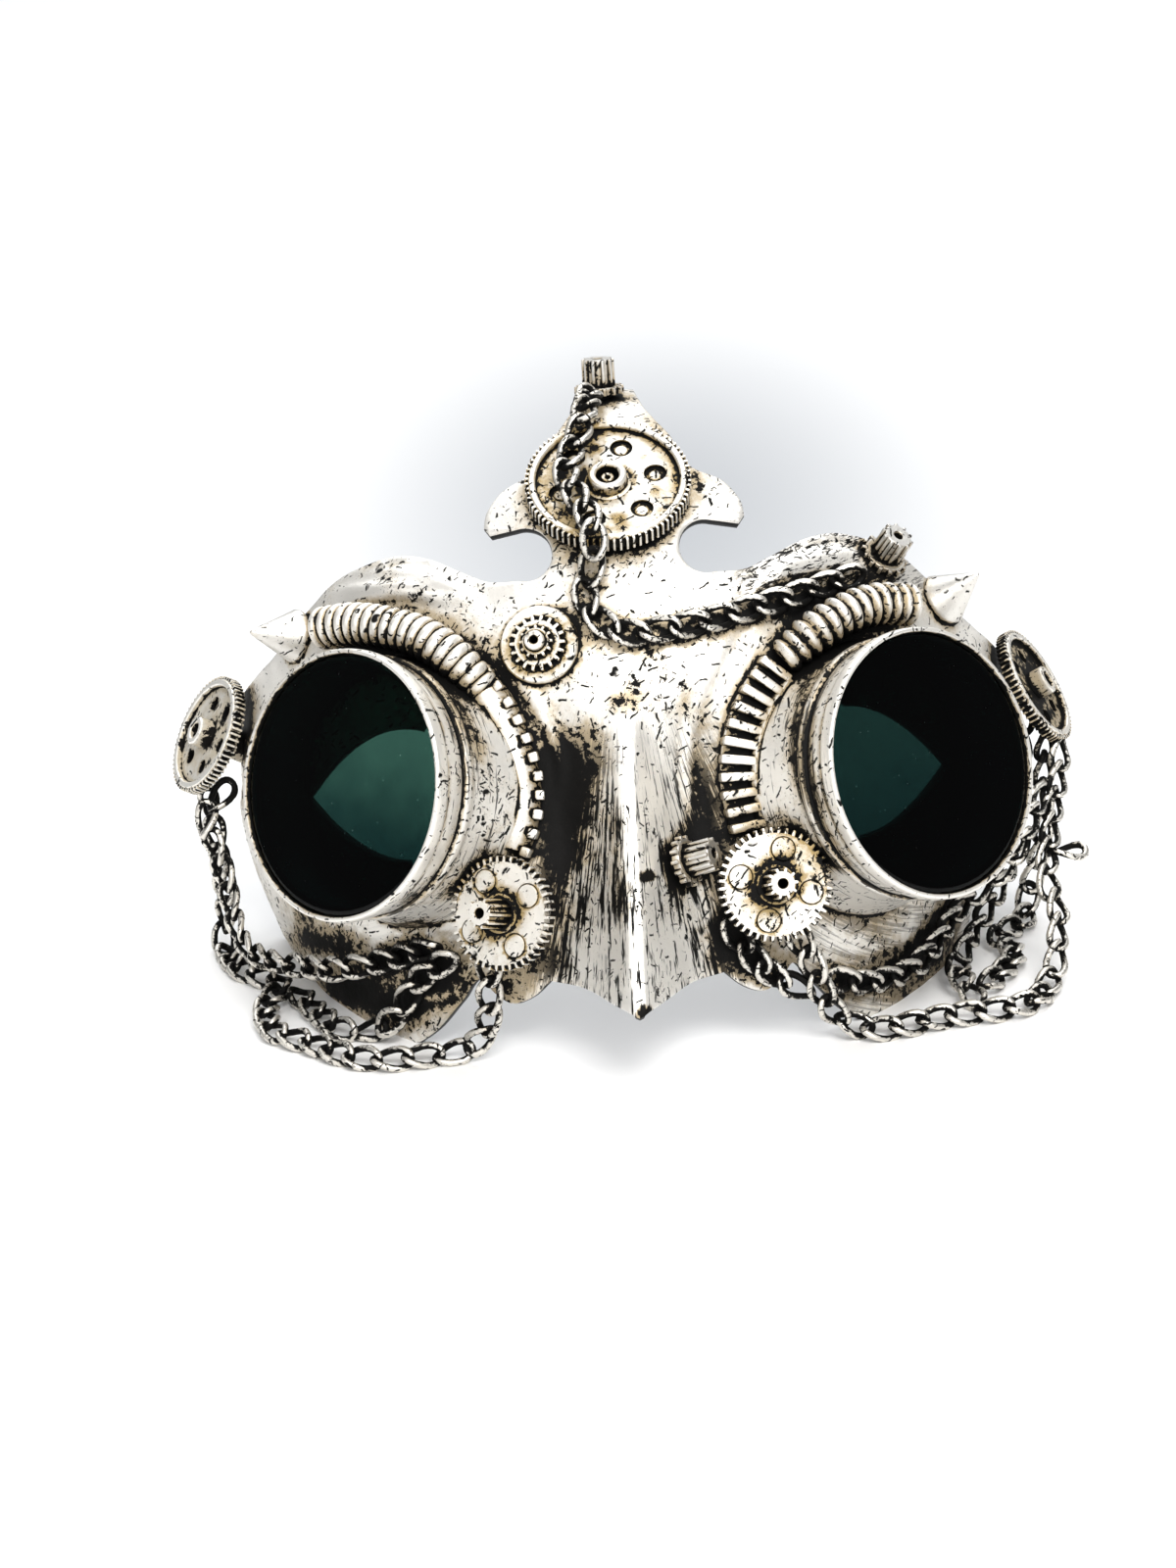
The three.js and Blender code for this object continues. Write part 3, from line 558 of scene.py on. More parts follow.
def silver_over_black(name, silver, stain, marks, cover, stained, shine=0.66, streaks=None):
    """Silver brushed nearly dry over black plastic, with stain in the lows.
    Black shows in scratches, in hollows deeper than the cover, and in streaks along the brush strokes.
    The black in the hollows is partly what the brush left and partly painted shade."""
    finish, surface, place = new_finish(name)
    hollow, crack, height = (place.named(label, 2) for label in ("hollow", "crack", "edge"))
    patch = place.cloud(0.1, 2.0)
    grain = place.cloud(0.8, 4.0, 0.65)
    fine = place.cloud(3.0, 2.0, 0.6)
    surface.inputs["Specular IOR Level"].default_value = 0.1
    depth = (hollow * 0.85).most(crack * 1.3)
    worn = (patch + depth * 0.8).ramp(0.36, 0.66)
    share = marks * (0.35 + 0.9 * worn)
    stray = place.node("ShaderNodeTexNoise", {}, {"Vector": place, "Scale": 0.6, "Detail": 2.0}, 1)
    hand = place.vector("ADD", place, stray.vector("SUBTRACT", stray, (0.5, 0.5, 0.5)).scaled(0.7))
    coarse = brush_marks(hand, cell=2.5, length=1.25, width=0.26, share=share)
    scratch = coarse.most(brush_marks(hand, cell=1.3, length=0.7, width=0.17, share=share))
    scratch = scratch.most((fine + (patch - 0.5) * 0.3).ramp(0.68, 0.72))
    dabs = (place.cloud(0.42, 4.0, 0.68) + (patch - 0.5) * 0.4 + depth * 0.45).ramp(0.66, 0.69)
    # Black in the lows: the brush's black, and painted shade where the mask is closed in
    lows = (depth + (grain - 0.5) * 0.6 - height * 0.2).ramp(cover, cover + 0.07)
    bare = scratch.most(dabs).most(lows)
    if streaks:
        strokes = place.named("stroke", 1)
        lines = strokes.vector("MULTIPLY", strokes, (1.5, 0.1, 0.1)).cloud(1.0, 3.0, 0.7)
        streak = (lines + (hollow - 0.08) * 0.45 + (patch - 0.5) * 0.25).ramp(streaks, streaks + 0.08)
        bare = bare.most(streak * place.named("stroked", 2))
    brown = (depth + (patch - 0.5) * 0.4 + (grain - 0.5) * 0.25).ramp(0.0, 0.24) * stained
    paint = brown.tint((*silver, 1), (*stain, 1))
    bare.tint(paint, (0.004, 0.0038, 0.0035, 1)).feed(surface, "Base Color")
    ((1 - bare) * (shine - brown * 0.3)).feed(surface, "Metallic")
    (0.28 + 0.16 * grain + 0.08 * fine + 0.12 * bare + 0.12 * brown).feed(surface, "Roughness")
    level = grain * 0.8 + fine * 0.35
    bump = level.node("ShaderNodeBump", {}, {"Strength": 0.7, "Distance": 0.00014, "Height": level})
    bump.feed(surface, "Normal")
    return finish


def bare_black(name):
    """The black plastic as it came from the mould, with a faint grain."""
    finish, surface, place = new_finish(name)
    mould = place.cloud(0.5, 3.0)
    mould.tint((0.009, 0.009, 0.0095, 1), (0.02, 0.0195, 0.019, 1)).feed(surface, "Base Color")
    (0.42 + 0.2 * mould).feed(surface, "Roughness")
    grain = place.cloud(2.5, 3.0)
    bump = grain.node("ShaderNodeBump", {}, {"Strength": 0.3, "Distance": 0.0001, "Height": grain})
    bump.feed(surface, "Normal")
    return finish


black_finish = bare_black("bare_black_plastic")


def keep_on(mesh, label, values):
    """Keeps a number, or a vector, for each point of a mesh."""
    values = np.asarray(values, np.float32)
    kept = mesh.attributes.new(label, "FLOAT" if values.ndim == 1 else "FLOAT_VECTOR", "POINT")
    kept.data.foreach_set("value" if values.ndim == 1 else "vector", values.ravel())


def put_piece(name, points, faces, finish, node, sharp=40, bare=None, stain_and_shade=None):
    """A finished piece in the room, which stands for the solid of that name. Points are in metres.
    Faces that are marked bare have no silver, and the last list says how much darker each point is painted:
    black and stain left by the brush, and painted shade."""
    mesh = bpy.data.meshes.new(name)
    mesh.from_pydata(np.asarray(points, float).tolist(), [], [list(f) for f in faces])
    shaped = bmesh.new()
    shaped.from_mesh(mesh)
    bmesh.ops.recalc_face_normals(shaped, faces=shaped.faces[:])
    shaped.to_mesh(mesh)
    shaped.free()
    mesh.shade_smooth()
    mesh.set_sharp_from_angle(angle=math.radians(sharp))
    piece = put_mesh(name, mesh, finish, node)
    if bare is not None:
        mesh.materials.append(black_finish)
        mesh.polygons.foreach_set("material_index", np.asarray(bare, np.int32))
    if stain_and_shade is not None:
        keep_on(mesh, "stain_and_shade", stain_and_shade)
    return piece


def put_mesh(name, mesh, finish, node):
    mesh.materials.clear()
    mesh.materials.append(finish)
    piece = bpy.data.objects.new(name, mesh)
    bpy.context.scene.collection.objects.link(piece)
    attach(piece, "root")
    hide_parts(node)
    return piece


SILVER = (0.80, 0.775, 0.725)
STAIN = (0.35, 0.255, 0.12)
face_finish = silver_over_black(
    "face_silver", SILVER, STAIN, marks=0.5, cover=0.24, stained=0.8, streaks=0.48)
in_place = in_room(shell_points)
in_place[:, 2] = np.maximum(in_place[:, 2], 0)
strips = len(EDGE_ROUND) + 1
unbrushed = np.zeros(len(shell_faces))
unbrushed[len(triangles):2 * len(triangles)] = 1
unbrushed[-strips * len(rim):].reshape(-1, strips)[:, 1:] = 1
shell = put_piece(
    "moulded_face", in_place, shell_faces, face_finish, "mask_shell", 65, unbrushed,
    np.concatenate([stain_and_shade, stain_and_shade, *[stain_and_shade[on_rim]] * len(EDGE_ROUND)]))
# Where each point lies across and along the brush strokes, and how much they show there.
# They fan down the nose from above it, go round the goggles on the cheeks, and slant on the right brow.
FAN = {"from": 40, "spread": 62}
ROUND_GOGGLE = {"x": 58, "apart": 200, "spread": 35}
BROW_SLANT = {"lean": 0.35, "short": 3.5}
x, up = shell_points[:, 0], shell_points[:, 1]
side, below = np.abs(x), FAN["from"] - up
beside = side - ROUND_GOGGLE["x"]
nose = [np.arctan2(x, below) * FAN["spread"], np.hypot(x, below)]
cheek = [np.hypot(beside, up) + ROUND_GOGGLE["apart"], np.arctan2(beside, -up) * ROUND_GOGGLE["spread"]]
brow = [up - BROW_SLANT["lean"] * x, (x + BROW_SLANT["lean"] * up) * BROW_SLANT["short"]]
nose_share = (1 - smooth_step(side, 15, 24)) * (1 - smooth_step(up, -6, 16))
cheek_share = smooth_step(side, 30, 36) * (1 - smooth_step(up, -26, -20)) * np.where(x > 0, 0.5, 0.1)
brow_share = smooth_step(x, 20, 27) * (1 - smooth_step(x, 58, 64)) * smooth_step(up, 28, 33)
on_cheek, on_brow = side > 27, (x > 20) & (up > 28)
strokes = np.where(on_brow, brow, np.where(on_cheek, cheek, nose))
keep_on(shell.data, "stroke", np.column_stack([*strokes, np.zeros(len(x))]))
keep_on(shell.data, "stroked", np.where(on_brow, brow_share, np.where(on_cheek, cheek_share, nose_share)))

# Each goggle is a stepped tube, cast in plastic and glued round an eye hole, with a bead at its rim.
# Its foot is cut to the face, and it is brushed with the same silver.
GOGGLES = {
    "left": {"place": (-55.2, 0.8, 12), "yaw": -40, "pitch": 4.5},
    "right": {"place": (58.6, -0.8, 12), "yaw": 38, "pitch": 4.5},
}
BORE = 23.4
RIM_STEPS = [
    # radius, height from the rim: from the lens seat over the bead and down the neck
    (BORE, -2.6), (25.2, -2.6), (25.2, -0.35), (25.35, -0.08), (25.65, 0), (25.95, -0.12), (26.15, -0.45),
    (26.2, -1.0), (26.2, -2.3), (26.1, -2.9), (25.75, -3.2), (25.1, -3.35), (24.6, -3.5), (24.6, -3.8),
    (24.95, -4.1), (24.95, -5.5), (24.95, -7.8), (24.7, -8.1), (24.7, -8.35), (25.2, -8.6), (25.5, -8.9),
    (25.6, -9.4), (25.6, -10), (25.4, -10.5), (25.1, -10.9),
]
FOOT = {"start": 25.1, "from": -10.9, "radius": 27.3, "to": -22, "flare": 1.6, "rows": 20, "sink": 0.35}


def axes_of(yaw, pitch):
    """Across, up and out of a piece that faces that way, as rows on the face's own axes."""
    yaw, pitch = math.radians(yaw), math.radians(pitch)
    out = np.array([math.sin(yaw) * math.cos(pitch), math.sin(pitch), math.cos(yaw) * math.cos(pitch)])
    side = np.cross([0, 1, 0], out)
    side /= np.linalg.norm(side)
    return np.array([side, np.cross(out, side), out])


def clear_of_face(points):
    """Above 0 where a place is outside the face."""
    x, up, out = np.moveaxis(points, -1, 0)
    half, wrap = section(HALF, up), section(WRAP, up)
    depth = (out - relief(x, up) - section(FRONT, up) + wrap) / wrap
    return (x / half) ** 2 + depth ** 2 - 1


def reach_to_face(spot, across, heights):
    """How far down a piece's own axis the face is met, from each place across it. The heights go down."""
    local = np.concatenate([
        np.broadcast_to(across[:, None], (len(across), len(heights), 2)),
        np.broadcast_to(heights[None, :, None], (len(across), len(heights), 1)),
    ], -1)
    within = clear_of_face(local @ axes_of(spot["yaw"], spot["pitch"]) + np.array(spot["place"])) < 0
    met = np.where(within.any(1), within.argmax(1), len(heights) - 1)
    return heights[met]


def ring_faces(rows, sides, closed):
    """Quads between rings of points that follow each other, the last to the first if closed."""
    made = []
    for j in range(rows if closed else rows - 1):
        low, high = j * sides, (j + 1) % rows * sides
        made += [(low + i, low + (i + 1) % sides, high + (i + 1) % sides, high + i) for i in range(sides)]
    return made


def set_out(local, spot):
    """Points on a piece's own axes as places in the room."""
    return in_room(np.asarray(local) @ axes_of(spot["yaw"], spot["pitch"]) + np.array(spot["place"]))


def round_points(radius, height, sides):
    """A ring of points round a piece's own axis. Radius and height may differ from point to point."""
    angles = np.linspace(0, 2 * math.pi, sides, endpoint=False)
    return np.column_stack([radius * np.cos(angles), radius * np.sin(angles), np.broadcast_to(height, sides)])


tube_finish = silver_over_black(
    "goggle_silver", SILVER, STAIN, marks=0.72, cover=0.2, stained=0.8, streaks=0.56)
TUBE_SIDES = 144
TUBE_DEPTHS = np.arange(-9, -42, -0.1)
# The deep groove between each tube and the trim beside it, as seen from the front
GROOVES = {
    "left": [(-40, 21), (-34.5, 17), (-30.5, 12), (-27.6, 6), (-27, 3)],
    "right": [(40, 20), (35, 14.5), (33, 8), (32.4, 1), (33, -6), (34.4, -10)],
}
# Black left by the brush and painted shade in that groove and in the creases round the neck: how much, how
# wide, and the creases' depths
GROOVE_BLACK_AND_SHADE, GROOVE_WIDE = 0.3, 2.4
CREASE_BLACK_AND_SHADE, CREASE_WIDE, CREASES = 0.16, 0.5, (3.6, 8.3)
for side, goggle in GOGGLES.items():
    circle = round_points(1, 0, TUBE_SIDES)[:, :2]
    outer_end = reach_to_face(goggle, FOOT["radius"] * circle, TUBE_DEPTHS) - FOOT["sink"]
    inner_end = reach_to_face(goggle, BORE * circle, TUBE_DEPTHS) - FOOT["sink"]
    rings = list(RIM_STEPS)
    for s in np.linspace(0, 1, FOOT["rows"])[1:]:
        level = FOOT["from"] + (outer_end - FOOT["from"]) * s
        share = np.clip((FOOT["from"] - level) / (FOOT["from"] - FOOT["to"]), 0, 1)
        rings.append((FOOT["start"] + (FOOT["radius"] - FOOT["start"]) * share ** FOOT["flare"], level))
    rings.append((BORE, inner_end))
    local = np.vstack([round_points(r, h, TUBE_SIDES) for r, h in rings])
    faces = [f[::-1] for f in ring_faces(len(rings), TUBE_SIDES, True)]
    unbrushed = np.zeros((len(rings), TUBE_SIDES))
    unbrushed[[0, -2, -1]] = 1
    seen = local @ axes_of(goggle["yaw"], goggle["pitch"]) + np.array(goggle["place"])
    gap, taper = near_run(seen, GROOVES[side])
    depth = -local[:, 2]
    black = GROOVE_BLACK_AND_SHADE * taper * hill(gap, GROOVE_WIDE) * smooth_step(depth, 4, 12)
    black += CREASE_BLACK_AND_SHADE * sum(hill(depth - crease, CREASE_WIDE) for crease in CREASES)
    tube = put_piece(
        f"{side}_tube", set_out(local, goggle), faces, tube_finish, f"{side}_goggle_tube", 40,
        unbrushed.ravel(), black)
    # The strokes run round the tube, and show more below its bead
    keep_on(tube.data, "stroke", local[:, [2, 0, 1]])
    keep_on(tube.data, "stroked", 0.3 + 0.6 * smooth_step(depth, 2.5, 5))

# The lenses are thin domed discs of dark green see-through plastic, dusty and a little scratched.
# Each is pressed into the seat behind its tube's bead.
lens_finish, lens_surface, lens_place = new_finish("green_lens")
dust = brush_marks(lens_place, cell=1.9, length=0.16, width=0.13, share=0.3)
haze = lens_place.cloud(0.16, 3.0)
lens_axes = lens_place.node("ShaderNodeSeparateXYZ", {}, {0: lens_place}).socket.node.outputs
# Painted shade: the lens tint darkens towards its foot, where the mask's shadow lies behind it, and the right
# lens is darker all over
to_right = Flow(lens_axes[0]).ramp(-10, 10)
shade = (Flow(lens_axes[2]) + (haze - 0.5) * 14).ramp(44, 68) * (1 - to_right * 0.7)
tint_and_shade = shade.tint((0.005, 0.024, 0.022, 1), (0.03, 0.088, 0.066, 1))
tint_and_shade = (to_right * 0.5).tint(tint_and_shade, (0.002, 0.008, 0.008, 1))
(dust * 0.6).tint(tint_and_shade, (0.4, 0.45, 0.42, 1)).feed(lens_surface, "Base Color")
(0.03 + 0.05 * haze + 0.4 * dust).feed(lens_surface, "Roughness")
lens_surface.inputs["Transmission Weight"].default_value = 1.0
lens_surface.inputs["IOR"].default_value = 1.22
LENS_EDGE = [(24.6, -2.3), (24.85, -2.1), (24.9, -1.8), (24.9, -1.2), (24.8, -0.9), (24.5, -0.78)]
LENS = {"back": -2.3, "rim": -0.78, "radius": 24.5, "dome": 0.5, "sides": 96}


def dense(profile, most=0.8):
    """A profile with points added, so that no step of it is longer than most."""
    profile = np.array(profile, float)
    made = [profile[:1]]
    for start, end in zip(profile, profile[1:]):
        parts = max(1, math.ceil(np.hypot(*(end - start)) / most))
        made.append(start + (end - start) * (np.arange(1, parts + 1) / parts)[:, None])
    return np.vstack(made)


def capped_lathe(profile, sides):
    """A turned solid from the first point of its profile on the axis to the last one there."""
    profile = dense(profile)
    rings = [round_points(r, h, sides) for r, h in profile[1:-1]]
    points = np.vstack([*rings, [(0, 0, profile[0][1])], [(0, 0, profile[-1][1])]])
    faces = ring_faces(len(rings), sides, False)
    bottom, top = len(points) - 2, len(points) - 1
    last = (len(rings) - 1) * sides
    faces += [(bottom, (i + 1) % sides, i) for i in range(sides)]
    faces += [(top, last + i, last + (i + 1) % sides) for i in range(sides)]
    return points, faces


dome = [(r, LENS["rim"] + LENS["dome"] * (1 - (r / LENS["radius"]) ** 2)) for r in (21, 16, 11, 6, 2)]
lens_profile = [(0, LENS["back"]), *LENS_EDGE, *dome, (0, LENS["rim"] + LENS["dome"])]
for side, goggle in GOGGLES.items():
    points, faces = capped_lathe(lens_profile, LENS["sides"])
    points = set_out(points, goggle)
    put_piece(f"{side}_lens_disc", points, faces, lens_finish, f"{side}_lens")

# A corrugated hose lies over each brow, from the spike at the temple towards the nose.
# It is cast in plastic with rounded ribs close together, black between them and silver on top.
HOSE = {"radius": 4.3, "groove": 3.2, "sides": 30, "taper": 0.14}
HOSE_RUNS = {
    "left": [(-55.8, 31.4), (-50, 31), (-43.9, 30), (-36.8, 27.6), (-32.5, 24.8), (-28.8, 21.2), (-26, 17.4)],
    "right": [(54.6, 29.3), (50.6, 29.5), (46.2, 29.2), (40.9, 27.4), (35.7, 24.6), (30.2, 20.2)],
}
HOSE_RIBS = {"left": 19, "right": 13}
HOSE_ROUND = {"left": 0.4, "right": 1.3}
# Each hose sinks into the face at its nose end, where its strip takes over
HOSE_LIFTS = {"left": [4.3, 4.3, 4.3, 4.3, 4.2, 3.4, 2.0], "right": [4.3, 4.3, 4.3, 4.3, 3.8, 2.0]}


def run_on_face(run, lift, steps=12):
    """A smooth run over the face at a lift: its middle line, and its ways along, across and out."""
    x, up = np.array(run, float).T
    turns = turn_at(x, up)
    lift = np.broadcast_to(lift, len(x))[:, None]
    middle = strand(face(turns, up) + face_normal(turns, up) * lift, steps)
    along = np.gradient(middle, axis=0)
    along /= np.linalg.norm(along, axis=1, keepdims=True)
    rough = face_normal(turn_at(middle[:, 0], middle[:, 1]), middle[:, 1])
    aside = np.cross(along, rough)
    aside /= np.linalg.norm(aside, axis=1, keepdims=True)
    return middle, along, aside, np.cross(aside, along)


def new_tree(name, sizes):
    """A node tree with a path to follow, its named sizes, and a finish. Gives the tree and its inputs."""
    tree = bpy.data.node_groups.new(name, "GeometryNodeTree")
    tree.interface.new_socket("Path", in_out="INPUT", socket_type="NodeSocketGeometry")
    for size, kind in sizes.items():
        tree.interface.new_socket(size, in_out="INPUT", socket_type=kind)
    tree.interface.new_socket("Finish", in_out="INPUT", socket_type="NodeSocketMaterial")
    tree.interface.new_socket("Piece", in_out="OUTPUT", socket_type="NodeSocketGeometry")
    start = tree.nodes.new("NodeGroupInput")
    return tree, {socket.name: Flow(socket) for socket in start.outputs if socket.name}


def end_tree(tree, shape, finish):
    """Ends a tree: its copies become one mesh, in one finish."""
    whole = shape.node("GeometryNodeRealizeInstances", {}, {"Geometry": shape})
    whole = whole.node("GeometryNodeSetMaterial", {}, {"Geometry": whole, "Material": finish})
    end = tree.nodes.new("NodeGroupOutput")
    tree.links.new(whole.socket, end.inputs["Piece"])


def grown(tree, path, out, sizes, closed=False):
    """The plain mesh that a tree makes along a path. Each point of the path has its own way out."""
    line = bpy.data.meshes.new("path")
    edges = [(i, i + 1) for i in range(len(path) - 1)] + ([(len(path) - 1, 0)] if closed else [])
    line.from_pydata(np.asarray(path, float).tolist(), edges, [])
    keep_on(line, "out", out)
    holder = bpy.data.objects.new("path", line)
    bpy.context.scene.collection.objects.link(holder)
    modifier = holder.modifiers.new("tree", "NODES")
    modifier.node_group = tree
    for item in tree.interface.items_tree:
        if item.in_out == "INPUT" and item.name in sizes:
            modifier[item.identifier] = sizes[item.name]
    made = bpy.data.meshes.new_from_object(holder.evaluated_get(bpy.context.evaluated_depsgraph_get()))
    holder.modifiers.remove(modifier)
    bpy.data.objects.remove(holder)
    return made


FLOAT, WHOLE, THING = "NodeSocketFloat", "NodeSocketInt", "NodeSocketObject"
rib_tree, rib = new_tree("ribbed_hose", {
    "Radius": FLOAT, "Groove": FLOAT, "Ribs": WHOLE, "Sides": WHOLE, "Taper": FLOAT, "Round": FLOAT,
})
line = rib["Path"].node("GeometryNodeMeshToCurve", {}, {"Mesh": rib["Path"]})
steps = {"Curve": line, "Count": rib["Ribs"] * 9 + 1}
line = line.node("GeometryNodeResampleCurve", {"mode": "COUNT"}, steps)
part_way = line.node("GeometryNodeSplineParameter", {}, {})
wave = (part_way * rib["Ribs"]).maths("FRACT", part_way * rib["Ribs"])
wave = wave.maths("SINE", wave * math.pi)
wave = wave.maths("POWER", wave.maths("ABSOLUTE", wave), rib["Round"])
narrow = 1 - rib["Taper"] * part_way.ramp(0.72, 1.0)
round_cut = line.node("GeometryNodeCurvePrimitiveCircle", {}, {"Resolution": rib["Sides"], "Radius": 1.0})
radius = (rib["Groove"] + wave * (rib["Radius"] - rib["Groove"])) * narrow
swept = line.node("GeometryNodeCurveToMesh", {}, {
    "Curve": line, "Profile Curve": round_cut, "Scale": radius, "Fill Caps": True,
})
end_tree(rib_tree, swept, rib["Finish"])

trim_finish = silver_over_black("trim_silver", SILVER, STAIN, marks=0.45, cover=0.24, stained=0.85)
for side, run in HOSE_RUNS.items():
    middle, along, aside, out = run_on_face(run, HOSE_LIFTS[side])
    sizes = {
        "Radius": HOSE["radius"] * 0.001, "Groove": HOSE["groove"] * 0.001, "Ribs": HOSE_RIBS[side],
        "Sides": HOSE["sides"], "Taper": HOSE["taper"], "Round": HOSE_ROUND[side], "Finish": trim_finish,
    }
    ribbed = grown(rib_tree, in_room(middle), out @ FACE_AXES, sizes)
    ribbed.shade_smooth()
    put_mesh(f"{side}_ribbed_hose", ribbed, trim_finish, f"{side}_hose")

# A toothed strip carries each hose on beside the nose: bars on the right, a notched edge on the left.
# They are cast with the hoses, so they have the same finish.
RACK_RUNS = {
    "left": [(-27.2, 19.6), (-23, 12.5), (-20.4, 5), (-19.4, -2), (-20.2, -8), (-22, -13)],
    "right": [(28.6, 18.4), (24.4, 12.4), (21.6, 5), (20.8, -3), (22, -11)],
}
row_tree, row = new_tree("row_of_pieces", {
    "Shape": THING, "Count": WHOLE, "Twist": FLOAT, "Sway": FLOAT, "Seed": WHOLE,
})
line = row["Path"].node("GeometryNodeMeshToCurve", {}, {"Mesh": row["Path"]})
line = line.node("GeometryNodeResampleCurve", {"mode": "COUNT"}, {"Curve": line, "Count": row["Count"]})
ahead = line.node("GeometryNodeInputTangent", {}, {})
outward = line.node("GeometryNodeInputNamedAttribute", {"data_type": "FLOAT_VECTOR"}, {"Name": "out"})
axes = {"primary_axis": "X", "secondary_axis": "Z"}
stand = line.node("FunctionNodeAxesToRotation", axes, {0: ahead, 1: outward})
number = line.node("GeometryNodeInputIndex", {}, {})
limits = {2: 0 - row["Sway"], 3: row["Sway"], "Seed": row["Seed"]}
sway = line.node("FunctionNodeRandomValue", {"data_type": "FLOAT"}, limits, 1)
twist = number.maths("FLOORED_MODULO", number, 2.0) * row["Twist"] + sway
roll = line.node("FunctionNodeAxisAngleToRotation", {}, {"Axis": (1, 0, 0), "Angle": twist})
turns = {"Rotation": stand, "Rotate By": roll}
stand = stand.node("FunctionNodeRotateRotation", {"rotation_space": "LOCAL"}, turns)
shape = line.node("GeometryNodeObjectInfo", {}, {"Object": row["Shape"]}, "Geometry")
copies = {"Points": line, "Instance": shape, "Rotation": stand}
end_tree(row_tree, line.node("GeometryNodeInstanceOnPoints", {}, copies), row["Finish"])


def pattern_piece(name, points, faces, bevel=0.0):
    """A shape for rows of pieces, with its edges rounded. It is taken away once the rows are made."""
    mesh = bpy.data.meshes.new(name)
    mesh.from_pydata([tuple(p) for p in points], [], [tuple(f) for f in faces])
    if bevel:
        shaped = bmesh.new()
        shaped.from_mesh(mesh)
        bmesh.ops.recalc_face_normals(shaped, faces=shaped.faces)
        bmesh.ops.bevel(shaped, geom=shaped.edges[:], offset=bevel, segments=2, affect="EDGES", profile=0.5)
        long_edges = [e for e in shaped.edges if e.calc_length() > 1]
        bmesh.ops.subdivide_edges(shaped, edges=long_edges, cuts=2, use_grid_fill=True)
        shaped.to_mesh(mesh)
        shaped.free()
    pattern = bpy.data.objects.new(name, mesh)
    bpy.context.scene.collection.objects.link(pattern)
    pattern.hide_render = True
    return pattern


def block(length, width, low, high, taper=1.0):
    """Corners and sides of a block along x, narrower in length at its far side by the taper."""
    corners = [
        (sx * length / 2 * (taper if sy > 0 else 1), sy * width / 2, z)
        for z in (low, high) for sy in (-1, 1) for sx in (-1, 1)
    ]
    sides = [(0, 2, 3, 1), (4, 5, 7, 6), (0, 1, 5, 4), (2, 6, 7, 3), (0, 4, 6, 2), (1, 3, 7, 5)]
    return corners, sides


def swept_strip(run, cut, swell=0.0):
    """A closed strip over the face, given by its cut as places across and out.
    It is larger by the swell at first."""
    middle, along, aside, out = run
    size = 1 + swell * np.linspace(1, -2, len(middle)).clip(0, 1)[:, None]
    rings = [middle + (aside * a + out * b) * size for a, b in cut]
    points = np.stack(rings, 1).reshape(-1, 3)
    faces = ring_faces(len(middle), len(cut), False)
    last = len(points) - len(cut)
    faces += [tuple(range(len(cut)))[::-1], tuple(range(last, last + len(cut)))]
    return points, [f[::-1] for f in faces]


def values_of(items, label, wide, kind=float):
    """One value of all the items of a mesh, in rows of that width."""
    values = np.zeros(len(items) * wide, kind)
    items.foreach_get(label, values)
    return values.reshape(-1, wide)


def parts_of(mesh):
    """Points and faces of a mesh, which is taken away."""
    points = values_of(mesh.vertices, "co", 3)
    faces = [tuple(p.vertices) for p in mesh.polygons]
    bpy.data.meshes.remove(mesh)
    return points, faces


def joined(*parts):
    """Several lots of points and faces as one."""
    points, faces = [], []
    for some, sides in parts:
        start = sum(len(p) for p in points)
        points.append(np.asarray(some, float))
        faces += [tuple(start + i for i in f) for f in sides]
    return np.vstack(points), faces


BAR = {"long": 7.0, "thick": 1.8, "low": -0.5, "high": 3.6, "count": 11}
TOOTH = {"long": 1.9, "deep": 1.9, "low": -0.5, "high": 3.3, "count": 11, "aside": 2.6}
bar = pattern_piece("bar", *block(BAR["thick"], BAR["long"], BAR["low"], BAR["high"]), bevel=0.45)
tooth = pattern_piece("tooth", *block(TOOTH["long"], TOOTH["deep"], TOOTH["low"], TOOTH["high"]), bevel=0.4)
bed = [
    (3.2, -0.6), (3.2, 0.8), (2.6, 1.3), (0, 1.3), (-2.2, 1.5), (-2.5, 3.0), (-3.1, 3.5), (-4.0, 3.2),
    (-4.8, 1.8), (-5, -0.6),
]
band = [(0.9 + 3.8 * math.cos(a), -0.6 + 4.2 * math.sin(a)) for a in np.linspace(math.pi, 0, 15)]
plain = {"Twist": 0.0, "Sway": 0.0, "Seed": 1, "Finish": trim_finish}
right_run = run_on_face(RACK_RUNS["right"], 0)
bars = grown(row_tree, right_run[0], right_run[3], {"Shape": bar, "Count": BAR["count"], **plain})
right_rack = joined(swept_strip(right_run, bed), parts_of(bars))
left_run = run_on_face(RACK_RUNS["left"], 0)
notch_line = left_run[0] - left_run[2] * TOOTH["aside"]
teeth = grown(row_tree, notch_line, left_run[3], {"Shape": tooth, "Count": TOOTH["count"], **plain})
left_rack = joined(swept_strip(left_run, band, 0.3), parts_of(teeth))
for name, (points, faces), node in (
    ("left_toothed_band", left_rack, "left_rack"), ("right_barred_strip", right_rack, "right_rack"),
):
    put_piece(name, in_room(points), faces, trim_finish, node)

